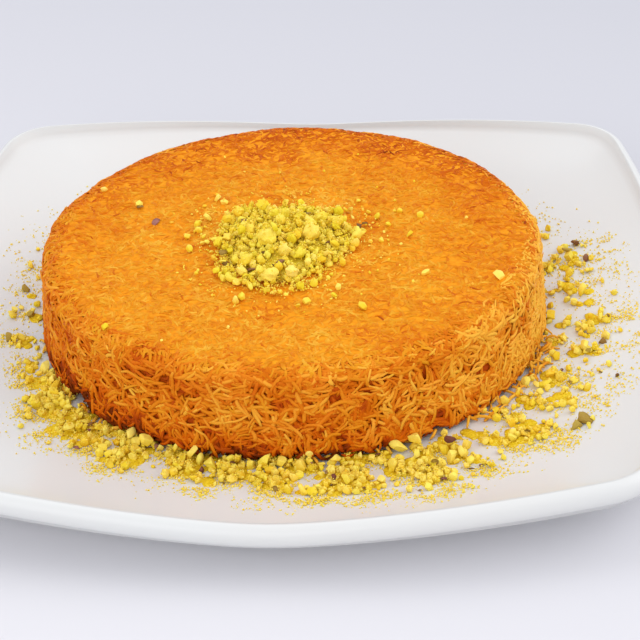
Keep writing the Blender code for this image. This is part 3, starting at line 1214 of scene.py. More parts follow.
@dataclass(frozen=True)
class TangleForm:
    """How the shreds of the side lie and how their tone varies.

    Ways are distances up the side from its foot. The waves and dips along a shred are in
    millimetres. Tones and warmths are added to a layer's tone and to the first warmth.
    """

    length: Pair = (0.0035, 0.009)
    radius: Pair = (0.00036, 0.00064)
    radius_power: float = 1.5
    flatness: Pair = (0.5, 0.75)
    way_jitter: float = 0.0016
    angle_jitter: float = 0.03
    most_lean: float = 1.25
    most_turn: float = 1.2
    foot_lean: float = 0.3
    foot_zone: float = 0.005
    lowest: Pair = (0.0003, 0.0036)
    below_top: Pair = (-0.001, 0.0036)
    wave_phase: Pair = (3.0, 9.0)
    wave_mm: Pair = (0.05, 0.18)
    end_dip_mm: float = 0.45
    loose_rise_mm: float = 0.7
    shoulder_calm: float = 0.8
    shoulder_sink: float = 0.05 * MM
    shoulder_thinning: float = 0.25
    clearance: float = 0.0001
    patch_tone: float = 0.05
    tone_scatter: float = 0.085
    # Painted shade: a shred's tone rises per millimetre that it stands out, and drops in hollows and in a
    # band just below the shoulder.
    relief_shade_tone: float = 0.15
    hollow_shade_tone: float = 0.3
    shoulder_shade_tone: float = 0.09
    shoulder_shade_band: Pair = (0.0015, 0.0036)
    # The foot's painted shade fades out over this height, with this power.
    foot_height: float = 0.0115
    foot_power: float = 1.4
    warmth: float = 0.34
    tuft_warmth: float = 0.1
    warmth_scatter: float = 0.13
    # Painted light on the side also warms its tone.
    painted_light_warmth: float = 0.55
    spread: Pair = (0.05, 0.05)
    seed: int = 21


@dataclass(frozen=True)
class MatForm:
    """How the flat shreds of the top lie and how their tone varies.

    The rim is the share that is baked darker, mostly towards its bearing. The back and the
    front bands give Y where they start and over what distance they come in.
    """

    count: int = 9500
    sides: int = 3
    steps: int = 3
    length: Pair = (0.0015, 0.004)
    wide: Pair = (0.00026, 0.0005)
    thick: Pair = (0.00008, 0.00014)
    most_turn: float = 1.3
    overhang: float = 0.004
    lowest_share: float = 0.8
    lift_mm: Pair = (-0.06, 0.05)
    end_dip_mm: float = 0.1
    rim_from: float = 0.036
    rim_width: float = 0.032
    rim_bearing: float = math.radians(75.0)
    tone: float = 0.745
    rim_tone: float = 0.33
    patch_tone: float = 0.04
    tone_scatter: float = 0.06
    tuft_tone: float = 0.03
    dark_tone: float = 0.2
    dark_share: float = 0.03
    back_tone: float = 0.07
    back_band: Pair = (0.01, 0.04)
    front_tone: float = 0.04
    front_band: Pair = (0.02, 0.03)
    mottled_tone: float = 0.05
    warmth: float = 0.72
    rim_warmth: float = 0.28
    tuft_warmth: float = 0.06
    warmth_scatter: float = 0.08
    spread: Pair = (0.05, 0.05)
    seed: int = 22


@dataclass(frozen=True)
class SpillForm:
    """Loose shreds on the plate: those that spill at the right front, and those all round.

    Bearings are in degrees, and away is how far outside the disc they lie.
    """

    spill_count: int = 34
    spill_bearing: Pair = (-46.0, -6.0)
    spill_away: Pair = (-0.001, 0.003)
    round_count: int = 70
    round_bearing: Pair = (-180.0, 180.0)
    round_away: Pair = (-0.002, 0.0002)
    sides: int = 5
    steps: int = 5
    length: Pair = (0.003, 0.008)
    most_turn: float = 1.6
    arch_mm: Pair = (0.1, 1.6)
    girth: float = 0.8
    tone: Pair = (0.9, 0.08)
    warmth: Pair = (0.75, 0.15)
    spread: Pair = (0.1, 0.05)
    seed: int = 23


@dataclass
class ShredBatch:
    """Paths of many shreds over the disc, in angle and way or on the rolled-out top.

    The jitters are how far shreds of one bunch differ in lean and in turn; wiggle is the most
    that a shred's lean swings along it.
    """

    draw: Draw
    count: int
    steps: int
    lengths: Pair
    bunch: int = 3
    lean_jitter: float = 0.16
    turn_jitter: float = 0.25
    wiggle: float = 0.35

    def bunched(self, low: float, high: float, jitter: float) -> Array:
        """Numbers that stay close together within a bunch.

        Args:
            low: least middle of a bunch.
            high: greatest middle of a bunch.
            jitter: how far single shreds differ from it.

        Returns:
            One number a shred.
        """
        bunches = -(-self.count // self.bunch)
        middle = np.repeat(self.draw.uniform(low, high, bunches), self.bunch)[: self.count]
        return middle + self.draw.normal(0.0, jitter, self.count)

    def leans(self, low: float, high: float, turn: float) -> Array:
        """Lean of every stretch of every shred, which changes steadily along it.

        Args:
            low: least lean of a shred's first stretch.
            high: greatest lean of its first stretch.
            turn: the most that it turns along its length.

        Returns:
            One row of leans a shred.
        """
        first = self.bunched(low, high, self.lean_jitter)
        last = first + self.bunched(-turn, turn, self.turn_jitter)
        share = np.linspace(0.0, 1.0, self.steps)
        swing = self.draw.uniform(-self.wiggle, self.wiggle, self.count)[:, None]
        return first[:, None] + (last - first)[:, None] * share + swing * np.sin(share * math.tau)

    def walked(self, leans: Array) -> tuple[Array, Array]:
        """Walk along every shred.

        Args:
            leans: one row of leans a shred.

        Returns:
            Sideways and upward distance of each point from the shred's start.
        """
        step = (self.draw.uniform(*self.lengths, self.count) / self.steps)[:, None]
        start = np.zeros((self.count, 1))
        aside = np.cumsum(np.concatenate([start, step * np.cos(leans)], axis=1), axis=1)
        upward = np.cumsum(np.concatenate([start, step * np.sin(leans)], axis=1), axis=1)
        return aside, upward


@dataclass
class Kunafa:
    """Pressed disc of baked shreds: its mass, the tangle on its side and the matted top.

    The side light and foot shade give, for angles in degrees, how much brighter the side's tone
    is painted, as painted light where light falls on it and painted shade where it lies in
    shade, and how much darker its foot is painted, as painted shade. The crust spots and shade
    are darker patches, dark spots of the crust and, on the left flank, painted shade: x, y, z
    and size in millimetres, and depth. The hollows are small gaps in the tangle, where shreds
    are left out and the rest are painted darker, as painted shade; their levels lie up to a
    share of the side, and more of them low down as the power grows. The lumps and dimples shape
    mass and shreds alike; patches, tufts and mottling vary the tone.
    """

    form: DiscForm = DISC
    tangle: TangleForm = TangleForm()
    mat: MatForm = MatForm()
    spill: SpillForm = SpillForm()
    mass_steps: int = 220
    side_rings: int = 16
    shoulder_rings: int = 12
    top_rings: int = 40
    top_gap: float = 0.0006
    top_cover: float = 0.00012
    foot_tuck: float = 0.0034
    foot_tuck_height: float = 0.006
    foot_tuck_power: float = 1.5
    hollow_count: int = 105
    hollow_size: Pair = (0.0008, 0.0017)
    hollow_level: float = 0.85
    hollow_power: float = 2.3
    hollow_seed: int = 24
    # Painted light and shade by bearing: degrees, how much brighter the side is painted where light falls
    # (darker on the shaded left), and how much painted shade darkens the foot.
    side_light_and_foot_shade: Rows = (
        (-180, -0.1, 0.5), (-165, -0.09, 0.95), (-140, 0.01, 1.0), (-125, 0.02, 0.9),
        (-105, 0.01, 0.5), (-80, 0.01, 0.4), (-45, 0.14, 0.26), (-15, 0.29, 0.12), (10, 0.27, 0.12),
        (60, 0.02, 0.3), (140, 0.02, 0.3), (180, -0.1, 0.5),
    )
    crust_spots_and_shade: Rows = (
        # The two rows on the left flank are painted shade; the others are dark spots of the crust.
        (-61, -35, 24, 6, 0.2), (-66, -22, 21, 5, 0.14), (64.7, -26.7, 23.5, 4, 0.14),
        (46.4, -52.5, 32, 4, 0.1), (-38, 39.2, 34, 3.5, 0.12), (-29.5, 50.8, 34, 2.5, 0.18),
        (-11.7, 47, 34, 2, 0.14), (-20.5, -13, 34, 3, 0.2), (-17.5, -19, 34, 2.5, 0.18),
        (17.5, 3, 34, 2.5, 0.14),
    )
    finish: PaletteFinish = SHRED_FINISH
    # Below the shoulder the mass takes its dark side colour: painted shade in the gaps of the tangle.
    mass_finish: CrumbFinish = CrumbFinish(
        name="pressed_shreds",
        dark=(0.62, 0.16, 0.003),
        middle=(0.8, 0.27, 0.006),
        bright=(0.9, 0.38, 0.015),
        side=(0.4, 0.055, 0.002),
        side_from=0.0275,
        side_to=0.0325,
    )
    lumps: Swell = Swell(size=0.016, height=0.00018, seed=3)
    dimples: Swell = Swell(size=0.005, height=0.00008, seed=4)
    patches: Swell = Swell(size=0.024, seed=5)
    tufts: Swell = Swell(size=0.007, seed=6)
    mottling: Swell = Swell(size=0.0028, seed=7, waves=24)
    material: Material = field(init=False)

    def __post_init__(self) -> None:
        """Make the shreds' material."""
        self.material = self.finish.material()

    def laid(self, angle: Array, way: Array, lift: Array | float) -> tuple[Array, Array]:
        """Points and normals over the uneven disc, as DiscForm.skin gives them."""
        spots, _ = self.form.skin(angle, way)
        return self.form.skin(angle, way, lift + self.lumps.at(spots) + self.dimples.at(spots))

    def sleekness(self, way: Array | float) -> Array:
        """How far each way is over the shoulder, 0 at the side to 1 at the level top."""
        return np.clip((way - self.form.side) / (self.form.full - self.form.side), 0.0, 1.0)

    def mass(self) -> None:
        """Make the solid mass, whose foot draws in under the side."""
        form = self.form
        angles = np.linspace(0.0, math.tau, self.mass_steps, endpoint=False)
        outward = np.stack([np.cos(angles), np.sin(angles), np.zeros_like(angles)], axis=-1)
        side = np.linspace(0.0, form.side, self.side_rings)
        shoulder = np.linspace(form.side, form.full, self.shoulder_rings)[1:]
        top = form.full + np.linspace(0.0, form.flat_radius - self.top_gap, self.top_rings)[1:]
        rings = []
        for way in np.concatenate([side, shoulder, top]):
            sleek = self.sleekness(way)
            inset = form.cover * (1.0 - sleek) + self.top_cover * sleek
            ring = self.laid(angles, np.full_like(angles, way), -inset)[0]
            near_foot = max(0.0, 1.0 - way / self.foot_tuck_height)
            ring -= self.foot_tuck * near_foot**self.foot_tuck_power * outward
            ring[:, 2] = np.maximum(ring[:, 2], form.base)
            rings.append(ring)
        made = object_of("kunafa_mass", lofted(rings), self.mass_finish.material())
        dress(made, Slot.SHREDS, Node.KUNAFA)

    def side_ways(self, batch: ShredBatch) -> tuple[Array, Array]:
        """Where the shreds of one layer of the side run.

        Args:
            batch: the layer's shreds.

        Returns:
            Angle and way of each point of each shred.
        """
        form, tangle, draw, count = self.form, self.tangle, batch.draw, batch.count
        start = batch.bunched(0.0, form.full, tangle.way_jitter)
        leans = batch.leans(-tangle.most_lean, tangle.most_lean, tangle.most_turn)
        leans += tangle.foot_lean * np.sign(leans[:, :1]) * (start < tangle.foot_zone)[:, None]
        aside, upward = batch.walked(leans)
        aside *= draw.choice((-1.0, 1.0), count)[:, None]
        angle = batch.bunched(0.0, math.tau, tangle.angle_jitter)[:, None] + aside / form.radius
        way = centred(start, upward)
        lowest = draw.uniform(*tangle.lowest, count)[:, None]
        highest = form.full - draw.uniform(*tangle.below_top, count)[:, None]
        way += np.maximum(0.0, lowest - way.min(axis=1, keepdims=True))
        way -= np.maximum(0.0, way.max(axis=1, keepdims=True) - highest)
        return angle, np.maximum(way, tangle.lowest[0])

    def side_relief(self, batch: ShredBatch, loose_share: float) -> Array:
        """How far each point of each shred waves and dips from its layer.

        Args:
            batch: the layer's shreds.
            loose_share: how many of them have an end that sticks out.

        Returns:
            One row of distances a shred.
        """
        tangle, draw, count = self.tangle, batch.draw, batch.count
        share = np.linspace(0.0, 1.0, batch.steps + 1)
        start = draw.uniform(0.0, math.tau, count)[:, None]
        wave = np.sin(share * draw.uniform(*tangle.wave_phase, count)[:, None] + start)
        dip = -tangle.end_dip_mm * MM * np.abs(2.0 * share - 1.0) ** 3
        loose = draw.random(count)[:, None] < loose_share
        dip = np.where(loose, tangle.loose_rise_mm * MM * share**4, dip)
        return draw.uniform(*tangle.wave_mm, count)[:, None] * MM * wave + dip

    def side_shreds(self, layer: Layer) -> None:
        """Make one layer of the tangle on the side.

        Args:
            layer: which layer.
        """
        form, tangle, kind = self.form, self.tangle, layer.value
        count, half_way = kind.count, kind.steps // 2
        template = tube_template(kind.sides, kind.steps)
        draw = np.random.default_rng(tangle.seed + count)
        batch = ShredBatch(draw, count, kind.steps, tangle.length, kind.bunch)
        angle, way = self.side_ways(batch)
        relief = self.side_relief(batch, kind.loose_share)
        sleek = self.sleekness(way)
        lift = draw.uniform(kind.low, kind.high, count)[:, None] + relief
        lift = lift * (1.0 - tangle.shoulder_calm * sleek) - tangle.shoulder_sink * sleek
        paths, normals = self.laid(angle, way, lift)
        small, large = tangle.radius
        radius = small + (large - small) * draw.random(count) ** tangle.radius_power
        radius *= kind.girth * (1.0 - tangle.shoulder_thinning * sleek[:, half_way])
        points = tubes(template, paths, normals, radius, radius * draw.uniform(*tangle.flatness, count))
        points[..., 2] = np.maximum(points[..., 2], form.base + tangle.clearance)
        hollow = self.hollowness(angle, way)
        tones, warmth = self.side_tones(draw, kind, paths, way, relief, hollow)
        kept = (hollow <= kind.hollow_limit).all(axis=1)
        joined = JoinedMesh()
        corner_tones = tones[:, ring_numbers(template)]
        joined.add(template, points[kept], corner_tones[kept], warmth[kept], tangle.spread)
        made = joined.made(f"kunafa_side_{layer.name.lower()}", self.material)
        dress(made, Slot.SHREDS, Node.KUNAFA)

    def side_tones(
        self, draw: Draw, kind: LayerForm, paths: Array, way: Array, relief: Array, hollow: Array
    ) -> tuple[Array, Array]:
        """Tones and warmths of one layer of the side.

        Args:
            draw: random numbers.
            kind: the layer.
            paths: points of each shred.
            way: distance of each point up the side.
            relief: how far each point stands out of its layer.
            hollow: how near each point is to the middle of a hollow, which is painted dark as shade.

        Returns:
            Tone of each point of each shred, with painted light and shade in it, and warmth of each shred.
        """
        form, tangle = self.form, self.tangle
        middle = paths[:, kind.steps // 2]
        scatter = draw.normal(0.0, tangle.tone_scatter, kind.count)
        tones = (kind.tone + tangle.patch_tone * self.patches.at(middle) + scatter)[:, None]
        # Painted light and shade: shreds that stand out are brighter and those that dip darker; hollows,
        # the crust spots and the left flank's painted shade darken them too.
        tones = tones + tangle.relief_shade_tone * relief / MM - tangle.hollow_shade_tone * hollow - self.spot_and_shade_drop(paths)
        # Painted light and shade by bearing, and painted shade at the foot.
        rows = np.array(self.side_light_and_foot_shade)
        around = np.degrees(np.arctan2(paths[..., 1], paths[..., 0]))
        brighter, darker = (np.interp(around, rows[:, 0], rows[:, column]) for column in (1, 2))
        # Painted shade in the crease just below the shoulder.
        below, width = tangle.shoulder_shade_band
        tones -= tangle.shoulder_shade_tone * np.exp(-(((way - form.side + below) / width) ** 2))
        low = np.clip(1.0 - (paths[..., 2] - form.base) / tangle.foot_height, 0.0, 1.0)
        tones += brighter - kind.foot_shade * darker * low**tangle.foot_power
        warmth = tangle.warmth + tangle.tuft_warmth * self.tufts.at(middle)
        warmth = warmth + draw.normal(0.0, tangle.warmth_scatter, kind.count)
        return tones, warmth + tangle.painted_light_warmth * np.maximum(brighter, 0.0).mean(axis=1)

    def spot_and_shade_drop(self, points: Array) -> Array:
        """How much darker the crust is painted in its dark spots and in its painted shade.

        Args:
            points: places, with a last axis of x, y and z.

        Returns:
            The drop in tone at each.
        """
        spots = np.array(self.crust_spots_and_shade)
        away = np.linalg.norm(points[..., None, :] / MM - spots[:, :3], axis=-1)
        return (spots[:, 4] * np.exp(-((away / spots[:, 3]) ** 2))).sum(axis=-1)

    def hollowness(self, angle: Array, way: Array) -> Array:
        """How near each point is to the middle of a dark hollow in the tangle.

        Args:
            angle: polar angles of points on the side.
            way: their distances up the side.

        Returns:
            0 far from every hollow to 1 in the middle of one.
        """
        # The hollows are gaps in the tangle, and their darkness is painted shade.
        draw = np.random.default_rng(self.hollow_seed)
        count = self.hollow_count
        middle = draw.uniform(0.0, math.tau, count)
        level = self.hollow_level * self.form.side * draw.random(count) ** self.hollow_power
        size = draw.uniform(*self.hollow_size, count)
        turn = (angle[..., None] - middle + math.pi) % math.tau - math.pi
        away = np.hypot(turn * self.form.radius, way[..., None] - level)
        return np.exp(-((away / size) ** 2)).max(axis=-1)

    def top_shreds(self) -> None:
        """Make the flat, matted shreds of the top, which run over the shoulder."""
        form, mat = self.form, self.mat
        count = mat.count
        template = tube_template(mat.sides, mat.steps)
        draw = np.random.default_rng(mat.seed)
        batch = ShredBatch(draw, count, mat.steps, mat.length)
        aside, upward = batch.walked(batch.leans(0.0, math.tau, mat.most_turn))
        reach = (form.flat_radius + mat.overhang) * np.sqrt(draw.random(count))
        turn = draw.uniform(0.0, math.tau, count)
        x, y = centred(reach * np.cos(turn), aside), centred(reach * np.sin(turn), upward)
        angle, way = form.draped(x, y)
        way = np.maximum(way, form.side * mat.lowest_share)
        share = np.linspace(0.0, 1.0, mat.steps + 1)
        lift = draw.uniform(*mat.lift_mm, count)[:, None] * MM
        lift = lift - mat.end_dip_mm * MM * np.abs(2.0 * share - 1.0) ** 3
        paths, normals = self.laid(angle, way, lift)
        wide, thick = draw.uniform(*mat.wide, count), draw.uniform(*mat.thick, count)
        points = tubes(template, paths, normals, wide, thick)
        tones, warmth = self.top_tones(draw, paths)
        joined = JoinedMesh()
        joined.add(template, points, tones[:, ring_numbers(template)], warmth, mat.spread)
        made = joined.made("kunafa_top_shreds", self.material, MAT_SHARP)
        dress(made, Slot.SHREDS, Node.KUNAFA)

    def top_tones(self, draw: Draw, paths: Array) -> tuple[Array, Array]:
        """Tones and warmths of the top's shreds, darker towards the rim, the back and the front.

        Args:
            draw: random numbers.
            paths: points of each shred.

        Returns:
            Tone of each point of each shred, and warmth of each shred.
        """
        mat = self.mat
        middle = paths[:, mat.steps // 2]
        x, y = middle[:, 0], middle[:, 1]
        rim = np.clip((np.hypot(x, y) - mat.rim_from) / mat.rim_width, 0.0, 1.0)
        rim *= 0.5 + 0.5 * np.cos(np.arctan2(y, x) - mat.rim_bearing)
        tones = mat.tone - mat.rim_tone * rim + mat.patch_tone * self.patches.at(middle)
        tones += draw.normal(0.0, mat.tone_scatter, mat.count) + mat.tuft_tone * self.tufts.at(middle)
        tones -= mat.dark_tone * (draw.random(mat.count) < mat.dark_share)
        tones -= mat.back_tone * np.clip((y - mat.back_band[0]) / mat.back_band[1], 0.0, 1.0)
        tones -= mat.front_tone * np.clip((-y - mat.front_band[0]) / mat.front_band[1], 0.0, 1.0)
        warmth = mat.warmth - mat.rim_warmth * rim + mat.tuft_warmth * self.tufts.at(middle)
        warmth = warmth + draw.normal(0.0, mat.warmth_scatter, mat.count)
        return tones[:, None] + mat.mottled_tone * self.mottling.at(paths) - self.spot_and_shade_drop(paths), warmth

    def spilled_shreds(self) -> None:
        """Make the loose shreds that have fallen on the plate round the foot."""
        spill = self.spill
        count = spill.spill_count + spill.round_count
        draw = np.random.default_rng(spill.seed)
        template = tube_template(spill.sides, spill.steps)
        groups = ((spill.spill_bearing, spill.spill_count), (spill.round_bearing, spill.round_count))
        angle = np.radians(np.concatenate([draw.uniform(*limits, share) for limits, share in groups]))
        groups = ((spill.spill_away, spill.spill_count), (spill.round_away, spill.round_count))
        away = np.concatenate([draw.uniform(*limits, share) for limits, share in groups])
        reach = self.form.radius + away
        batch = ShredBatch(draw, count, spill.steps, spill.length, bunch=1)
        aside, upward = batch.walked(batch.leans(0.0, math.tau, spill.most_turn))
        x, y = centred(reach * np.cos(angle), aside), centred(reach * np.sin(angle), upward)
        share = np.linspace(0.0, 1.0, spill.steps + 1)
        arch = draw.uniform(*spill.arch_mm, count)[:, None] * MM * np.sin(math.pi * share)
        radius = spill.girth * draw.uniform(*self.tangle.radius, count)
        paths = np.stack([x, y, PLATE.top(x, y) + radius[:, None] + arch], axis=-1)
        normals = np.zeros_like(paths)
        normals[..., 2] = 1.0
        points = tubes(template, paths, normals, radius, radius)
        tones, warmth = draw.normal(*spill.tone, count), draw.normal(*spill.warmth, count)
        joined = JoinedMesh()
        joined.add(template, points, tones, warmth, spill.spread)
        dress(joined.made("kunafa_spilled_shreds", self.material), Slot.SHREDS)

    def build(self) -> None:
        """Make every piece of the disc."""
        self.mass()
        for layer in Layer:
            self.side_shreds(layer)
        self.top_shreds()
        self.spilled_shreds()


# Pistachio


class Chop(Enum):
    """Kinds of chopped piece, with their smallest and largest radius."""

    POWDER = (1.0 * MM, 2.2 * MM)
    CLUMP = (1.0 * MM, 2.1 * MM)
    CHUNK = (1.2 * MM, 2.1 * MM)
    GRAIN = (0.6 * MM, 1.5 * MM)
    DUST = (0.12 * MM, 0.32 * MM)

    def templates(self) -> list[Template]:
        """Chopped shapes of this kind.

        Returns:
            Bumpy shapes for the large kinds, and cut shapes for the others.
        """
        if self in (Chop.CLUMP, Chop.CHUNK):
            form = CLUMP if self is Chop.CLUMP else CHUNK
            return [bumpy_template(form, form.seed + number) for number in range(form.shapes)]
        subdivisions, cuts = {Chop.POWDER: (2, 0), Chop.GRAIN: (1, 5), Chop.DUST: (0, 0)}[self]
        seeds = range(CUT.seed_step * cuts, CUT.seed_step * cuts + CUT.shapes)
        return [chopped_template(subdivisions, cuts, seed) for seed in seeds]


class HeightField:
    """Heights over a square, on which pieces are laid one after another."""

    CELL = 0.25 * MM
    ROLL = 1.1
    TRIES = 4

    def __init__(self, draw: Draw, middle: Pair, half: float, ground: Heights) -> None:
        """Take the ground's heights.

        Args:
            draw: random numbers.
            middle: x and y of the square's centre.
            half: half its side.
            ground: turns x and y into z.
        """
        self.draw = draw
        size = int(2 * half / self.CELL)
        cells = self.CELL * (np.arange(size) + 0.5)
        self.x = middle[0] - half + cells
        self.y = middle[1] - half + cells
        self.z = ground(*np.meshgrid(self.x, self.y, indexing="ij"))

    def under(self, x: float, y: float, radius: float, settle: float) -> tuple[float, tuple, Array, Array]:
        """Where a ball comes to rest.

        Args:
            x: place along X.
            y: place along Y.
            radius: of the ball.
            settle: share of the cells under it that it rests on; under 1, it sinks in a bit.

        Returns:
            Height of its centre, the cells under it, which of them it covers, and its bulge there.
        """
        i = np.searchsorted(self.x, (x - radius, x + radius))
        j = np.searchsorted(self.y, (y - radius, y + radius))
        cells = slice(i[0], max(i[1], i[0] + 1)), slice(j[0], max(j[1], j[0] + 1))
        square = (self.x[cells[0], None] - x) ** 2 + (self.y[None, cells[1]] - y) ** 2
        covered = square < radius**2
        bulge = np.sqrt(np.maximum(radius**2 - square, 0.0))
        rests = (self.z[cells] + bulge)[covered]
        centre = float(np.quantile(rests, settle)) if rests.size else float(self.z[cells].max()) + radius
        return centre, cells, covered, bulge

    def lay(self, x: float, y: float, radius: float, settle: float, tries: int) -> Triple:
        """Let a ball roll to the lowest of a few places near by, and raise the ground by it.

        Args:
            x: place along X.
            y: place along Y.
            radius: of the ball.
            settle: as in under.
            tries: number of places that it may roll to.

        Returns:
            The ball's centre.
        """
        places = [(x, y)]
        for _ in range(tries):
            aside, along = self.draw.normal(0.0, self.ROLL * radius, 2)
            places.append((x + aside, y + along))
        rests = [self.under(*place, radius, settle) for place in places]
        best = min(range(len(places)), key=lambda number: rests[number][0])
        centre, cells, covered, bulge = rests[best]
        self.z[cells] = np.where(covered, np.maximum(self.z[cells], centre + bulge), self.z[cells])
        return (*places[best], centre)


@dataclass
class Crumbs:
    """Chopped pieces with their places, which become one joined mesh a kind.

    Each is stretched between two triples; its upper side is painted brighter and its underside
    darker, as painted light and shade, and it covers a small spread of the palette.
    """

    draw: Draw
    least: Triple = (1.0, 0.85, 0.65)
    most: Triple = (1.35, 1.1, 0.95)
    painted_light_tone: float = 0.16
    spread: Pair = (0.09, 0.06)

    def joined(
        self, kind: Chop, spots: Array, radii: Array, tones: Array, warmth: Array, flat: float = 1.0
    ) -> JoinedMesh:
        """Turn and place a kind's shapes.

        Args:
            kind: which shapes.
            spots: centres.
            radii: of each.
            tones: U in the palette.
            warmth: V in the palette.
            flat: height share; under 1, the shapes turn about the vertical only.

        Returns:
            The joined mesh.
        """
        joined = JoinedMesh()
        templates = kind.templates()
        choice = self.draw.integers(0, len(templates), len(spots))
        turns = turned(self.draw, len(spots))
        stretch = self.draw.uniform(self.least, self.most, (len(spots), 3))
        if flat < 1.0:
            spin = self.draw.uniform(0.0, math.tau, len(spots))
            turns, stretch = spun(spin), stretch * (1.0, 1.0, flat)
        for number, template in enumerate(templates):
            mine = np.flatnonzero(choice == number)
            shape = template.points[None] * stretch[mine][:, None] * radii[mine][:, None, None]
            offsets = np.einsum("nij,nvj->nvi", turns[mine], shape)
            # Painted light and shade: the upper side of each piece gets a brighter tone, its underside a
            # darker one.
            upper = offsets[..., 2] / radii[mine][:, None]
            shaded = tones[mine][:, None] + self.painted_light_tone * upper
            joined.add(template, offsets + spots[mine][:, None], shaded, warmth[mine], self.spread)
        return joined


def skins(draw: Draw, spots: Array, sizes: Array, warmth: Array) -> JoinedMesh:
    """Flakes of nut skin.

    Args:
        draw: random numbers.
        spots: centres.
        sizes: half lengths.
        warmth: V in the palette, from purple to olive.

    Returns:
        The joined mesh.
    """
    joined = JoinedMesh()
    for number in range(FLAKE.shapes):
        mine = np.arange(number, len(spots), FLAKE.shapes)
        template = skin_template(FLAKE.seed + number)
        turns = unit(turned(draw, len(mine)) + FLAKE.level * np.eye(3))
        about = spun(draw.uniform(0.0, math.tau, len(mine)))
        shape = template.points[None] * sizes[mine][:, None, None]
        points = np.einsum("nij,njk,nvk->nvi", about, turns, shape) + spots[mine][:, None]
        joined.add(template, points, draw.uniform(*FLAKE.tones, len(mine)), warmth[mine], FLAKE.spread)
    return joined


@dataclass
class PistachioHeap:
    """Low heap of chopped pistachio on the middle of the disc.

    The lumps give x and y from its centre, and radius, and the skins x and y, in millimetres.
    Forward is how much farther than the mound's edge its pieces run at the front. The edge's
    waves give depth, number and start. Reaches are a power and a greatest share of the edge,
    for the places of pieces: the power draws them inwards as it grows. One piece in a few is
    loose and lies farther out.
    """

    centre: Pair = (-0.002, -0.004)
    reach: Pair = (0.018, 0.0215)
    edge_waves: Rows = ((0.07, 3.0, 0.6), (0.05, 5.0, 2.0))
    height: float = 0.003
    power: float = 1.6
    edge_share: float = 0.88
    above_disc: float = 0.0003
    mound_sides: int = 72
    mound_shares: tuple[float, float, int] = (0.97, 0.03, 14)
    half_field: float = 0.045
    forward: float = 0.13
    lumps: Rows = (
        (-3.5, -5.5, 3.6), (7.8, -2.5, 3.3), (-2.1, -20.5, 2.9), (3.8, -19, 2.6), (-8.8, -13.5, 2.3),
        (10, 7.6, 2.2), (0.2, 7.8, 2.2), (-9, 1.6, 2.2), (1.2, -10, 2.5), (5.6, -10.8, 2.2),
    )
    clump_count: int = 34
    chunk_count: int = 12
    chunk_size: float = 0.8
    large_reach: Pair = (0.5, 0.98)
    grain_count: int = 450
    grain_mm: Pair = (0.55, 1.3)
    grain_reach: Pair = (0.62, 1.03)
    loose_grain_reach: Pair = (0.5, 1.45)
    loose_grain_every: int = 8
    dust_counts: tuple[int, int] = (3600, 1500)
    dust_reach: Pair = (0.5, 1.04)
    loose_dust_reach: Pair = (0.5, 1.5)
    loose_dust_every: int = 9
    bulk: float = 0.8
    settle: float = 0.72
    lump_settle: float = 0.5
    skin_mm: Pair = (1.1, 1.8)
    skin_bulk: float = 0.4 * MM
    skin_settle: float = 0.8
    skin_warmth: Pair = (0.2, 0.9)
    skins: Rows = (
        (-3, -20), (-1.6, -18.8), (-9.5, -19.5), (-16.5, -16.3), (-17.6, -12), (-6.1, -14.1),
        (18.6, 4.7), (20, 6), (10.8, -6.7), (4, 10), (-13, 3),
    )
    tone: Pair = (0.78, 0.09)
    mound_finish: CrumbFinish = CrumbFinish(
        name="pressed_pistachio",
        dark=(0.5, 0.34, 0.012),
        middle=(0.7, 0.52, 0.03),
        bright=(0.8, 0.64, 0.08),
        side=(0.46, 0.24, 0.012),
        side_from=DISC.level,
        side_to=DISC.level + 0.001,
    )
    draw: Draw = seeded(31)

    def edge(self, angle: Array) -> Array:
        """Distance from the heap's centre to its uneven edge.

        Args:
            angle: polar angles.

        Returns:
            The distance at each angle.
        """
        wide, deep = self.reach
        reach = 1.0 / np.hypot(np.cos(angle) / wide, np.sin(angle) / deep)
        waves = [depth * np.sin(number * angle + start) for depth, number, start in self.edge_waves]
        return reach * (1.0 + sum(waves))

    def dome(self, x: Array, y: Array) -> Array:
        """Height of the inner mound above the table, at x and y from its centre."""
        share = np.minimum(1.0, np.hypot(x, y) / self.edge(np.arctan2(y, x)) / self.edge_share)
        return DISC.level + self.above_disc + self.height * (1.0 - share**self.power)

    def build(self, material: Material) -> None:
        """Make the mound, then lay the chopped pieces and the skins on it.

        Args:
            material: the nuts' finish.
        """
        self.mound()
        middle_x, middle_y = self.centre
        heights = HeightField(
            self.draw, self.centre, self.half_field, lambda x, y: self.dome(x - middle_x, y - middle_y)
        )
        for name, kind, pieces in self.drawn():
            spots = []
            for x, y, radius in pieces:
                _, largest = kind.value
                lump = radius > largest
                tries = 0 if kind is Chop.DUST or lump else HeightField.TRIES
                settle = self.lump_settle if lump else self.settle
                spots.append(heights.lay(x, y, self.bulk * radius, settle, tries))
            radii = np.array([radius for _, _, radius in pieces])
            tones = self.draw.normal(*self.tone, len(spots))
            warmth = self.draw.random(len(spots))
            joined = Crumbs(self.draw).joined(kind, np.array(spots), radii, tones, warmth)
            dress(joined.made(f"heap_{name}", material, CHOP_SHARP), Slot.NUT, Node.HEAP)
        ball = self.skin_bulk, self.skin_settle
        spots = np.array([heights.lay(*place, *ball, 0) for place in MM * np.array(self.skins)])
        sizes = self.draw.uniform(*self.skin_mm, len(spots)) * MM
        flakes = skins(self.draw, spots, sizes, self.draw.uniform(*self.skin_warmth, len(spots)))
        dress(flakes.made("heap_skins", SKIN_FINISH.material()), Slot.NUT, Node.HEAP)

    def mound(self) -> None:
        """Make the inner mound."""
        angles = np.linspace(0.0, math.tau, self.mound_sides, endpoint=False)
        first, last, count = self.mound_shares
        rings = [self.mound_ring(angles, self.edge_share, DISC.level + self.above_disc)]
        shares = np.linspace(self.edge_share * first, last, count)
        rings += [self.mound_ring(angles, share) for share in shares]
        made = object_of("heap_mound", lofted(rings), self.mound_finish.material())
        dress(made, Slot.NUT, Node.HEAP)

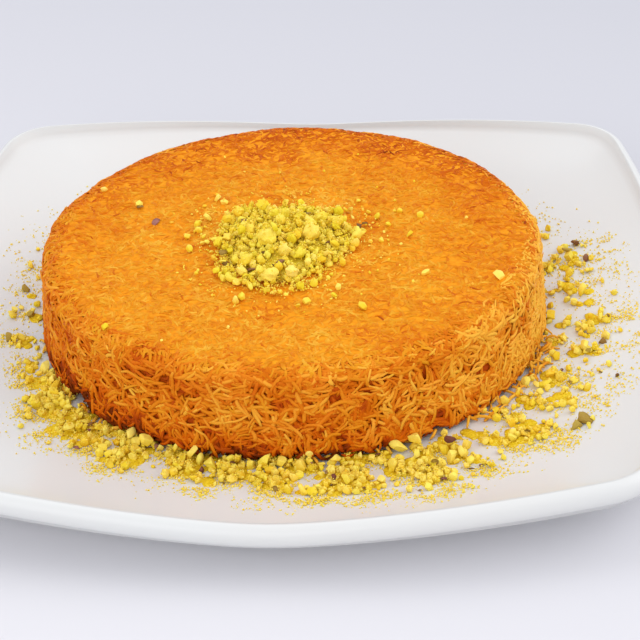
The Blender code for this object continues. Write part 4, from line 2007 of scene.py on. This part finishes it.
    def drawn(self) -> tuple[tuple[str, Chop, list], ...]:
        """Draw the places and radii of the chopped pieces.

        Returns:
            Name, kind, and x, y and radius of every piece, in the order in which they are laid.
        """
        clumps = [tuple(row) for row in MM * np.array(self.lumps) + (*self.centre, 0.0)]
        for _ in range(self.clump_count):
            clumps.append((*self.spot(*self.large_reach), self.draw.uniform(*Chop.CLUMP.value)))
        chunks = []
        for _ in range(self.chunk_count):
            spot = self.spot(*self.large_reach)
            chunks.append((*spot, self.draw.uniform(*Chop.CHUNK.value) * self.chunk_size))
        grains = []
        for number in range(self.grain_count):
            loose = number % self.loose_grain_every == 0
            spot = self.spot(*(self.loose_grain_reach if loose else self.grain_reach))
            grains.append((*spot, self.draw.uniform(*self.grain_mm) * MM))
        dusts = []
        for count in self.dust_counts:
            dust = []
            for number in range(count):
                loose = number % self.loose_dust_every == 0
                spot = self.spot(*(self.loose_dust_reach if loose else self.dust_reach))
                dust.append((*spot, self.draw.uniform(*Chop.DUST.value)))
            dusts.append(dust)
        return (
            ("grains", Chop.GRAIN, grains),
            ("dust", Chop.DUST, dusts[0]),
            ("clumps", Chop.CLUMP, clumps),
            ("chunks", Chop.CHUNK, chunks),
            ("specks", Chop.DUST, dusts[1]),
        )

    def mound_ring(self, angles: Array, share: float, level: float | None = None) -> Array:
        """Ring of the mound.

        Args:
            angles: polar angles of its points.
            share: of the heap's edge.
            level: its height, where it isn't the mound's own.

        Returns:
            The ring's points.
        """
        reach = self.edge(angles) * share
        x, y = reach * np.cos(angles), reach * np.sin(angles)
        height = self.dome(x, y) if level is None else np.full_like(x, level)
        return np.stack([self.centre[0] + x, self.centre[1] + y, height], axis=-1)

    def spot(self, power: float, most: float) -> Pair:
        """Random place in the heap.

        Args:
            power: draws it inwards as it grows.
            most: greatest share of the heap's edge.

        Returns:
            x and y.
        """
        angle = self.draw.uniform(0.0, math.tau)
        reach = float(self.edge(np.array(angle))) * most * self.draw.uniform() ** power
        reach *= 1.0 + self.forward * max(0.0, -math.sin(angle))
        return self.centre[0] + reach * math.cos(angle), self.centre[1] + reach * math.sin(angle)


@dataclass
class Garnish:
    """Chopped pistachio scattered round the disc's foot and thinly over its top.

    The plan gives, for angles in degrees, how much of the plate is covered near the foot,
    between which two radii in millimetres it is so, and over what distance it fades. The rows
    give the large pieces against the foot: from and to in degrees, count, and radii in
    millimetres. The husks are pieces with their skin on: x, y and radius in millimetres, tone
    and tint. The pieces and skins on the disc's top are given like them. The clusters give x, y
    and half width in millimetres, and the share covered. The amounts give, for each kind, the
    share of the cover and how much wider than the plan it spreads, from 1. The density of
    pieces is a sum of the cover and its cube.
    """

    plan: Rows = (
        (-190, 0.2, 72, 79, 5), (-172, 0.2, 72, 78, 5), (-165, 0.3, 71, 76, 3),
        (-160, 0.9, 71, 75, 3), (-150, 0.98, 69, 77, 4), (-140, 0.97, 68.5, 77, 7),
        (-130, 0.93, 68.5, 74, 8.5), (-120, 0.86, 68.5, 75.5, 7.5), (-110, 0.92, 68.5, 73, 8),
        (-100, 0.98, 68.5, 76.5, 6), (-90, 0.98, 68.5, 77.5, 8), (-80, 0.99, 68.5, 82, 4.5),
        (-70, 0.95, 70, 82, 8), (-60, 0.84, 73, 84, 8), (-50, 0.52, 72, 81, 8), (-40, 0.4, 72, 86, 8),
        (-25, 0.3, 72, 88, 9), (-10, 0.26, 72, 86, 8), (0, 0.34, 76, 88, 8), (10, 0.24, 72, 84, 8),
        (20, 0.44, 73, 86, 6), (30, 0.26, 76, 84, 6), (50, 0.12, 73, 84, 6), (90, 0.1, 73, 82, 6),
        (140, 0.12, 74, 86, 8), (160, 0.3, 73, 82, 4), (170, 0.2, 72, 79, 5),
    )
    rows: tuple[tuple[float, float, int, float, float], ...] = (
        (-158, -126, 9, 0.8, 1.7), (-124, -60, 23, 0.9, 2.1),
    )
    husks: Rows = (
        (44.4, -62.2, 1.4, 0.35, 0), (78.4, -53, 2, 0.65, 0.9), (76.5, -55, 1.5, 0.85, 1),
        (80.3, 38.8, 1.5, 0.4, 0.3), (83, 30, 1.1, 0.55, 0.2), (77.5, 32.5, 1.2, 0.9, 1),
        (85, -14.5, 1.2, 0.6, 0.6), (81, -19.5, 1, 0.8, 1), (88, -33, 0.8, 0.3, 0.5),
        (-19.1, -72.5, 1, 0.45, 0), (-78.5, 14.5, 1.3, 0.8, 1), (-75, 1, 1.2, 0.75, 1),
        (-79, -12, 1.3, 0.8, 1),
    )
    clusters: Rows = (
        (-77.8, 13, 3, 0.8), (-74.8, 0.8, 2.6, 0.88), (-76.5, -12, 3.7, 0.9), (-71, -27.5, 3.2, 0.9),
        (77, 16, 4.8, 0.82), (78, 28, 5, 0.78), (82, 36, 2.4, 0.85), (85.7, -2.1, 4.2, 0.88),
        (72.5, -11.4, 2.8, 0.85), (79.6, -8, 2.2, 0.8), (80.2, -17.2, 2.8, 0.88),
        (88.9, -13.1, 1.9, 0.8), (71.9, -30, 5.5, 0.95), (75.1, -40, 4.2, 0.78),
        (66, -56.1, 6.5, 0.92), (78.4, -54.4, 3, 0.85),
    )
    nearest: float = 0.0672
    farthest: float = 0.101
    amounts: tuple[tuple[Chop, float, float], ...] = (
        (Chop.GRAIN, 0.7, 1.0),
        (Chop.DUST, 0.46, 1.3),
        (Chop.CHUNK, 0.09, 0.85),
    )
    powder: Pair = (2.9, 0.85)
    powder_power: float = 2.3
    powder_flatness: float = 0.26
    skins: Pair = (0.035, 1.05)
    skin_mm: Pair = (0.5, 1.2)
    skin_bulk: float = 0.4
    skin_settle: float = 0.9
    husk_bulk: float = 0.6
    husk_settle: float = 0.6
    half_field: float = 0.105
    near_fade: float = 1.5
    far_power: float = 2.4
    patchiness: float = 0.55
    patches: Swell = Swell(size=0.008, seed=8)
    most_cover: float = 0.975
    tries_times: float = 8.0
    radius_power: float = 1.4
    density: Pair = (0.42, 1.3)
    clear_of_disc: float = 0.7
    row_power: float = 1.5
    row_place: Pair = (0.1, 0.9)
    row_jitter: Pair = (-0.002, 0.0022)
    row_bulk: float = 0.8
    bulk: float = 0.78
    settle: float = 0.8
    tone: Pair = (0.81, 0.09)
    warmth: Pair = (0.3, 1.0)
    top_tone: Pair = (0.76, 0.08)
    top_warmth: Pair = (0.2, 1.0)
    top_count: int = 46
    top_mm: Pair = (0.3, 0.6)
    top_reach: Triple = (0.024, 0.012, 0.06)
    top_forward: float = 0.004
    top_sunk: float = 0.45
    top_skin_rise: float = 0.4 * MM
    top_skins: Rows = ((-38.2, 7.4, 1.8, 0), (-43.6, 16, 1.1, 0.6))
    top_pieces: Rows = (
        (-55.2, 26.5, 1), (-44.2, 17.1, 1.4), (-28.4, -0.4, 1.1), (29.6, 13.3, 1.2), (35.4, 11, 1.2),
        (32.6, 0.5, 1.1), (37.3, -20.2, 1.3), (56.5, -21.8, 1.9), (-12.2, -34.4, 1.3),
        (6.2, -34.4, 1.3), (21, -37.3, 1.5), (-45.1, -47.2, 1.1), (23.4, 10.4, 1.1), (25, -2.8, 1),
        (19.8, 2.4, 1), (21.9, -3.6, 0.8), (26.5, 6.3, 0.9), (17.7, 19.4, 0.7), (21, 13.1, 0.7),
        (25.5, 1.9, 0.6), (28.2, 13.6, 0.6), (16.9, -2.5, 0.8), (-25.4, 16.7, 0.7), (-25.9, 7.6, 0.7),
        (-21, -8.9, 0.7),
    )
    draw: Draw = seeded(41)

    def cover(self, x: Array, y: Array) -> Array:
        """Share of the plate that is covered.

        Args:
            x: places along X.
            y: places along Y.

        Returns:
            The share at each place.
        """
        rows = np.array(self.plan)
        angle = np.degrees(np.arctan2(y, x))
        level, near, far, fade = (np.interp(angle, rows[:, 0], rows[:, column]) for column in range(1, 5))
        away = np.hypot(x, y) / MM
        beyond = np.maximum(0.0, away - far) / fade
        short = np.maximum(0.0, near - away) / self.near_fade
        patches = 1.0 + self.patchiness * self.patches.at(np.stack([x, y, np.zeros_like(x)], axis=-1))
        share = level * np.exp(-(beyond**self.far_power) - short**2) * patches
        for middle_x, middle_y, size, most in self.clusters:
            apart = np.hypot(x / MM - middle_x, y / MM - middle_y)
            share = np.maximum(share, most * np.exp(-((apart / size) ** 4)))
        return np.clip(share, 0.0, self.most_cover)

    def scattered(self, kind: Chop, share: float, wide: float) -> tuple[Array, Array]:
        """Places and radii of one kind of piece on the plate.

        Args:
            kind: which kind.
            share: how much of the cover this kind gives.
            wide: how much wider than the plan it spreads, from 1.

        Returns:
            x and y of each, and the radii.
        """
        small, large = kind.value
        area = math.pi * ((small + large) / 2.0) ** 2
        tries = int(self.tries_times * share * math.pi * (self.farthest**2 - self.nearest**2) / area)
        reach = np.sqrt(self.draw.uniform(self.nearest**2, self.farthest**2, tries))
        angle = self.draw.uniform(-math.pi, math.pi, tries)
        radii = small + (large - small) * self.draw.random(tries) ** self.radius_power
        near = (reach - self.nearest) / wide + self.nearest
        cover = self.cover(near * np.cos(angle), near * np.sin(angle))
        density = (self.density[0] * cover + self.density[1] * cover**3) / self.tries_times
        kept = self.draw.random(tries) < density
        kept &= reach > self.nearest + self.clear_of_disc * radii
        return np.column_stack([reach * np.cos(angle), reach * np.sin(angle)])[kept], radii[kept]

    def build(self, material: Material) -> None:
        """Lay the pieces on the plate, then the ones on the disc.

        Args:
            material: the nuts' finish.
        """
        heights = HeightField(self.draw, (0.0, 0.0), self.half_field, PLATE.top)
        self.lay_powder()
        for kind, share, wide in self.amounts:
            places, radii = self.scattered(kind, share, wide)
            spots = []
            if kind is Chop.CHUNK:
                row, row_radii = self.foot_row()
                for (x, y), radius in zip(row, row_radii):
                    spots.append(heights.lay(x, y, self.row_bulk * radius, self.settle, 0))
                radii = np.concatenate([row_radii, radii])
            tries = 0 if kind is Chop.DUST else HeightField.TRIES
            for (x, y), radius in zip(places, radii[len(spots) :]):
                spots.append(heights.lay(x, y, self.bulk * radius, self.settle, tries))
            tones = self.draw.normal(*self.tone, len(spots))
            warmth = self.draw.uniform(*self.warmth, len(spots))
            joined = Crumbs(self.draw).joined(kind, np.array(spots), radii, tones, warmth)
            dress(joined.made(f"plate_{kind.name.lower()}s", material, CHOP_SHARP), Slot.NUT, Node.PLATE)
        self.flakes(heights)
        self.top(material)

    def lay_powder(self) -> None:
        """Lay flat clumps of powder where the plate is covered densely."""
        places, radii = self.scattered(Chop.POWDER, *self.powder)
        kept = self.draw.random(len(places)) < self.cover(*places.T) ** self.powder_power
        places, radii = places[kept], radii[kept]
        spots = np.column_stack([places, PLATE.top(*places.T)])
        blank = np.full(len(spots), 0.5)
        joined = Crumbs(self.draw).joined(Chop.POWDER, spots, radii, blank, blank, self.powder_flatness)
        dress(joined.made("plate_powder", POWDER_FINISH.material()), Slot.NUT, Node.PLATE)

    def foot_row(self) -> tuple[Array, Array]:
        """Places and radii of the large pieces that lie against the disc's foot.

        Returns:
            x and y of each, and the radii.
        """
        places, radii = [], []
        for first, last, count, small, large in self.rows:
            for number in range(count):
                share = (number + self.draw.uniform(*self.row_place)) / count
                angle = math.radians(first + (last - first) * share)
                radius = (small + (large - small) * self.draw.uniform() ** self.row_power) * MM
                reach = DISC.radius + radius + self.draw.uniform(*self.row_jitter)
                places.append((reach * math.cos(angle), reach * math.sin(angle)))
                radii.append(radius)
        return np.array(places), np.array(radii)

    def flakes(self, heights: HeightField) -> None:
        """Lay flakes of skin among the pieces on the plate.

        Args:
            heights: what already lies there.
        """
        places, _ = self.scattered(Chop.GRAIN, *self.skins)
        sizes = self.draw.uniform(*self.skin_mm, len(places)) * MM
        pieces = zip(*places.T, self.skin_bulk * sizes)
        spots = np.array([heights.lay(*piece, self.skin_settle, 0) for piece in pieces])
        joined = skins(self.draw, spots, sizes, self.draw.random(len(places)))
        material = SKIN_FINISH.material()
        dress(joined.made("plate_skins", material), Slot.NUT, Node.PLATE)
        x, y, radii = MM * np.array(self.husks).T[:3]
        tones, tints = np.array(self.husks).T[3:]
        pieces = zip(x, y, self.husk_bulk * radii)
        spots = np.array([heights.lay(*piece, self.husk_settle, 0) for piece in pieces])
        joined = Crumbs(self.draw).joined(Chop.CHUNK, spots, radii, tones, tints)
        dress(joined.made("plate_husks", material, CHOP_SHARP), Slot.NUT, Node.PLATE)

    def top(self, material: Material) -> None:
        """Lay the few loose pieces on the disc.

        Args:
            material: the nuts' finish.
        """
        pieces = list(MM * np.array(self.top_pieces))
        near, scatter, far = self.top_reach
        for _ in range(self.top_count):
            angle = self.draw.uniform(0.0, math.tau)
            reach = min(near + abs(self.draw.normal(0.0, scatter)), far)
            x, y = reach * math.cos(angle), reach * math.sin(angle) - self.top_forward
            pieces.append((x, y, self.draw.uniform(*self.top_mm) * MM))
        spots = np.array([(x, y, DISC.level + self.top_sunk * radius) for x, y, radius in pieces])
        radii = np.array([radius for _, _, radius in pieces])
        tones = self.draw.normal(*self.top_tone, len(spots))
        warmth = self.draw.uniform(*self.top_warmth, len(spots))
        joined = Crumbs(self.draw).joined(Chop.GRAIN, spots, radii, tones, warmth)
        dress(joined.made("top_grains", material, CHOP_SHARP), Slot.NUT, Node.KUNAFA)
        x, y, sizes = MM * np.array(self.top_skins).T[:3]
        spots = np.column_stack([x, y, np.full(len(x), DISC.level + self.top_skin_rise)])
        joined = skins(self.draw, spots, sizes, np.array(self.top_skins)[:, 3])
        dress(joined.made("top_skins", SKIN_FINISH.material()), Slot.NUT, Node.KUNAFA)


# Studio


@dataclass
class Studio:
    """Camera at the photograph's angle, pale table and soft light.

    The lights give a name, a place, the size of the sides, and the power in watts.
    """

    target: Triple = (0.0, 0.0, 0.0073)
    distance: float = 0.6321
    azimuth: float = 0.08813
    elevation: float = 0.55941
    roll: float = -0.04589
    focal_px: float = 2248.6
    image_px: float = 640.0
    centre_px: Pair = (25.21, -1.23)
    sensor_mm: float = 36.0
    clip: Pair = (0.01, 20.0)
    table_half: float = 3.0
    room_colour: Triple = (0.95, 0.96, 1.0)
    room_strength: float = 0.86
    lights: tuple[tuple[str, Triple, float, float], ...] = (
        ("key", (1.9, 0.4, 1.4), 2.2, 22.5),
        ("window", (-0.7, 0.7, 1.9), 1.4, 7.5),
        ("fill", (-0.7, -1.6, 0.9), 1.4, 11.0),
    )

    def camera(self) -> None:
        """Place the camera; the target lies left of the picture's centre."""
        cos, sin = math.cos(self.azimuth), math.sin(self.azimuth)
        flat, rise = math.cos(self.elevation), math.sin(self.elevation)
        back = Vector((sin * flat, -cos * flat, rise))
        right = Vector((cos, sin, 0.0))
        upward = back.cross(right)
        turn_cos, turn_sin = math.cos(self.roll), math.sin(self.roll)
        rolled = turn_cos * right + turn_sin * upward
        raised = -turn_sin * right + turn_cos * upward
        aside, above = (offset / self.focal_px for offset in self.centre_px)
        aim = -back + rolled * aside + raised * above
        behind = -aim.normalized()
        across = (rolled - behind * rolled.dot(behind)).normalized()
        upright = behind.cross(across)
        data = bpy.data.cameras.new("camera")
        data.sensor_width = self.sensor_mm
        data.lens = self.focal_px / self.image_px * self.sensor_mm
        data.clip_start, data.clip_end = self.clip
        made = bpy.data.objects.new("camera", data)
        turn = Matrix((across, upright, behind)).transposed().to_4x4()
        made.matrix_world = Matrix.Translation(Vector(self.target) + back * self.distance) @ turn
        bpy.context.scene.collection.objects.link(made)
        bpy.context.scene.camera = made

    def light(self, name: str, place: Triple, size: float, power: float) -> None:
        """Hang a square soft light that faces the part.

        Args:
            name: of the light.
            place: of its middle.
            size: of its sides.
            power: in watts.
        """
        data = bpy.data.lights.new(name, "AREA")
        data.shape = "SQUARE"
        data.size = size
        data.energy = power
        made = bpy.data.objects.new(name, data)
        made.location = place
        made.rotation_euler = (-Vector(place)).to_track_quat("-Z", "Y").to_euler()
        bpy.context.scene.collection.objects.link(made)

    def build(self) -> None:
        """Make camera, table, world and lights."""
        self.camera()
        bm = bmesh.new()
        bmesh.ops.create_grid(bm, x_segments=2, y_segments=2, size=self.table_half)
        table = object_of("table_top", bm, TableFinish().material())
        world = bpy.data.worlds.new("soft_room")
        world.use_nodes = True
        room = world.node_tree.nodes["Background"]
        room.inputs["Color"].default_value = (*self.room_colour, 1.0)
        room.inputs["Strength"].default_value = self.room_strength
        bpy.context.scene.world = world
        for name, place, size, power in self.lights:
            self.light(name, place, size, power)
        bpy.context.scene.view_settings.view_transform = "Standard"


def main() -> None:
    """Build the studio and every sub-assembly, in order."""
    logging.basicConfig(level=logging.INFO, format="%(message)s")
    Studio().build()
    Plate().build()
    Kunafa().build()
    nuts = NUT_FINISH.material()
    PistachioHeap().build(nuts)
    Garnish().build(nuts)


if __name__ == "__main__":
    main()
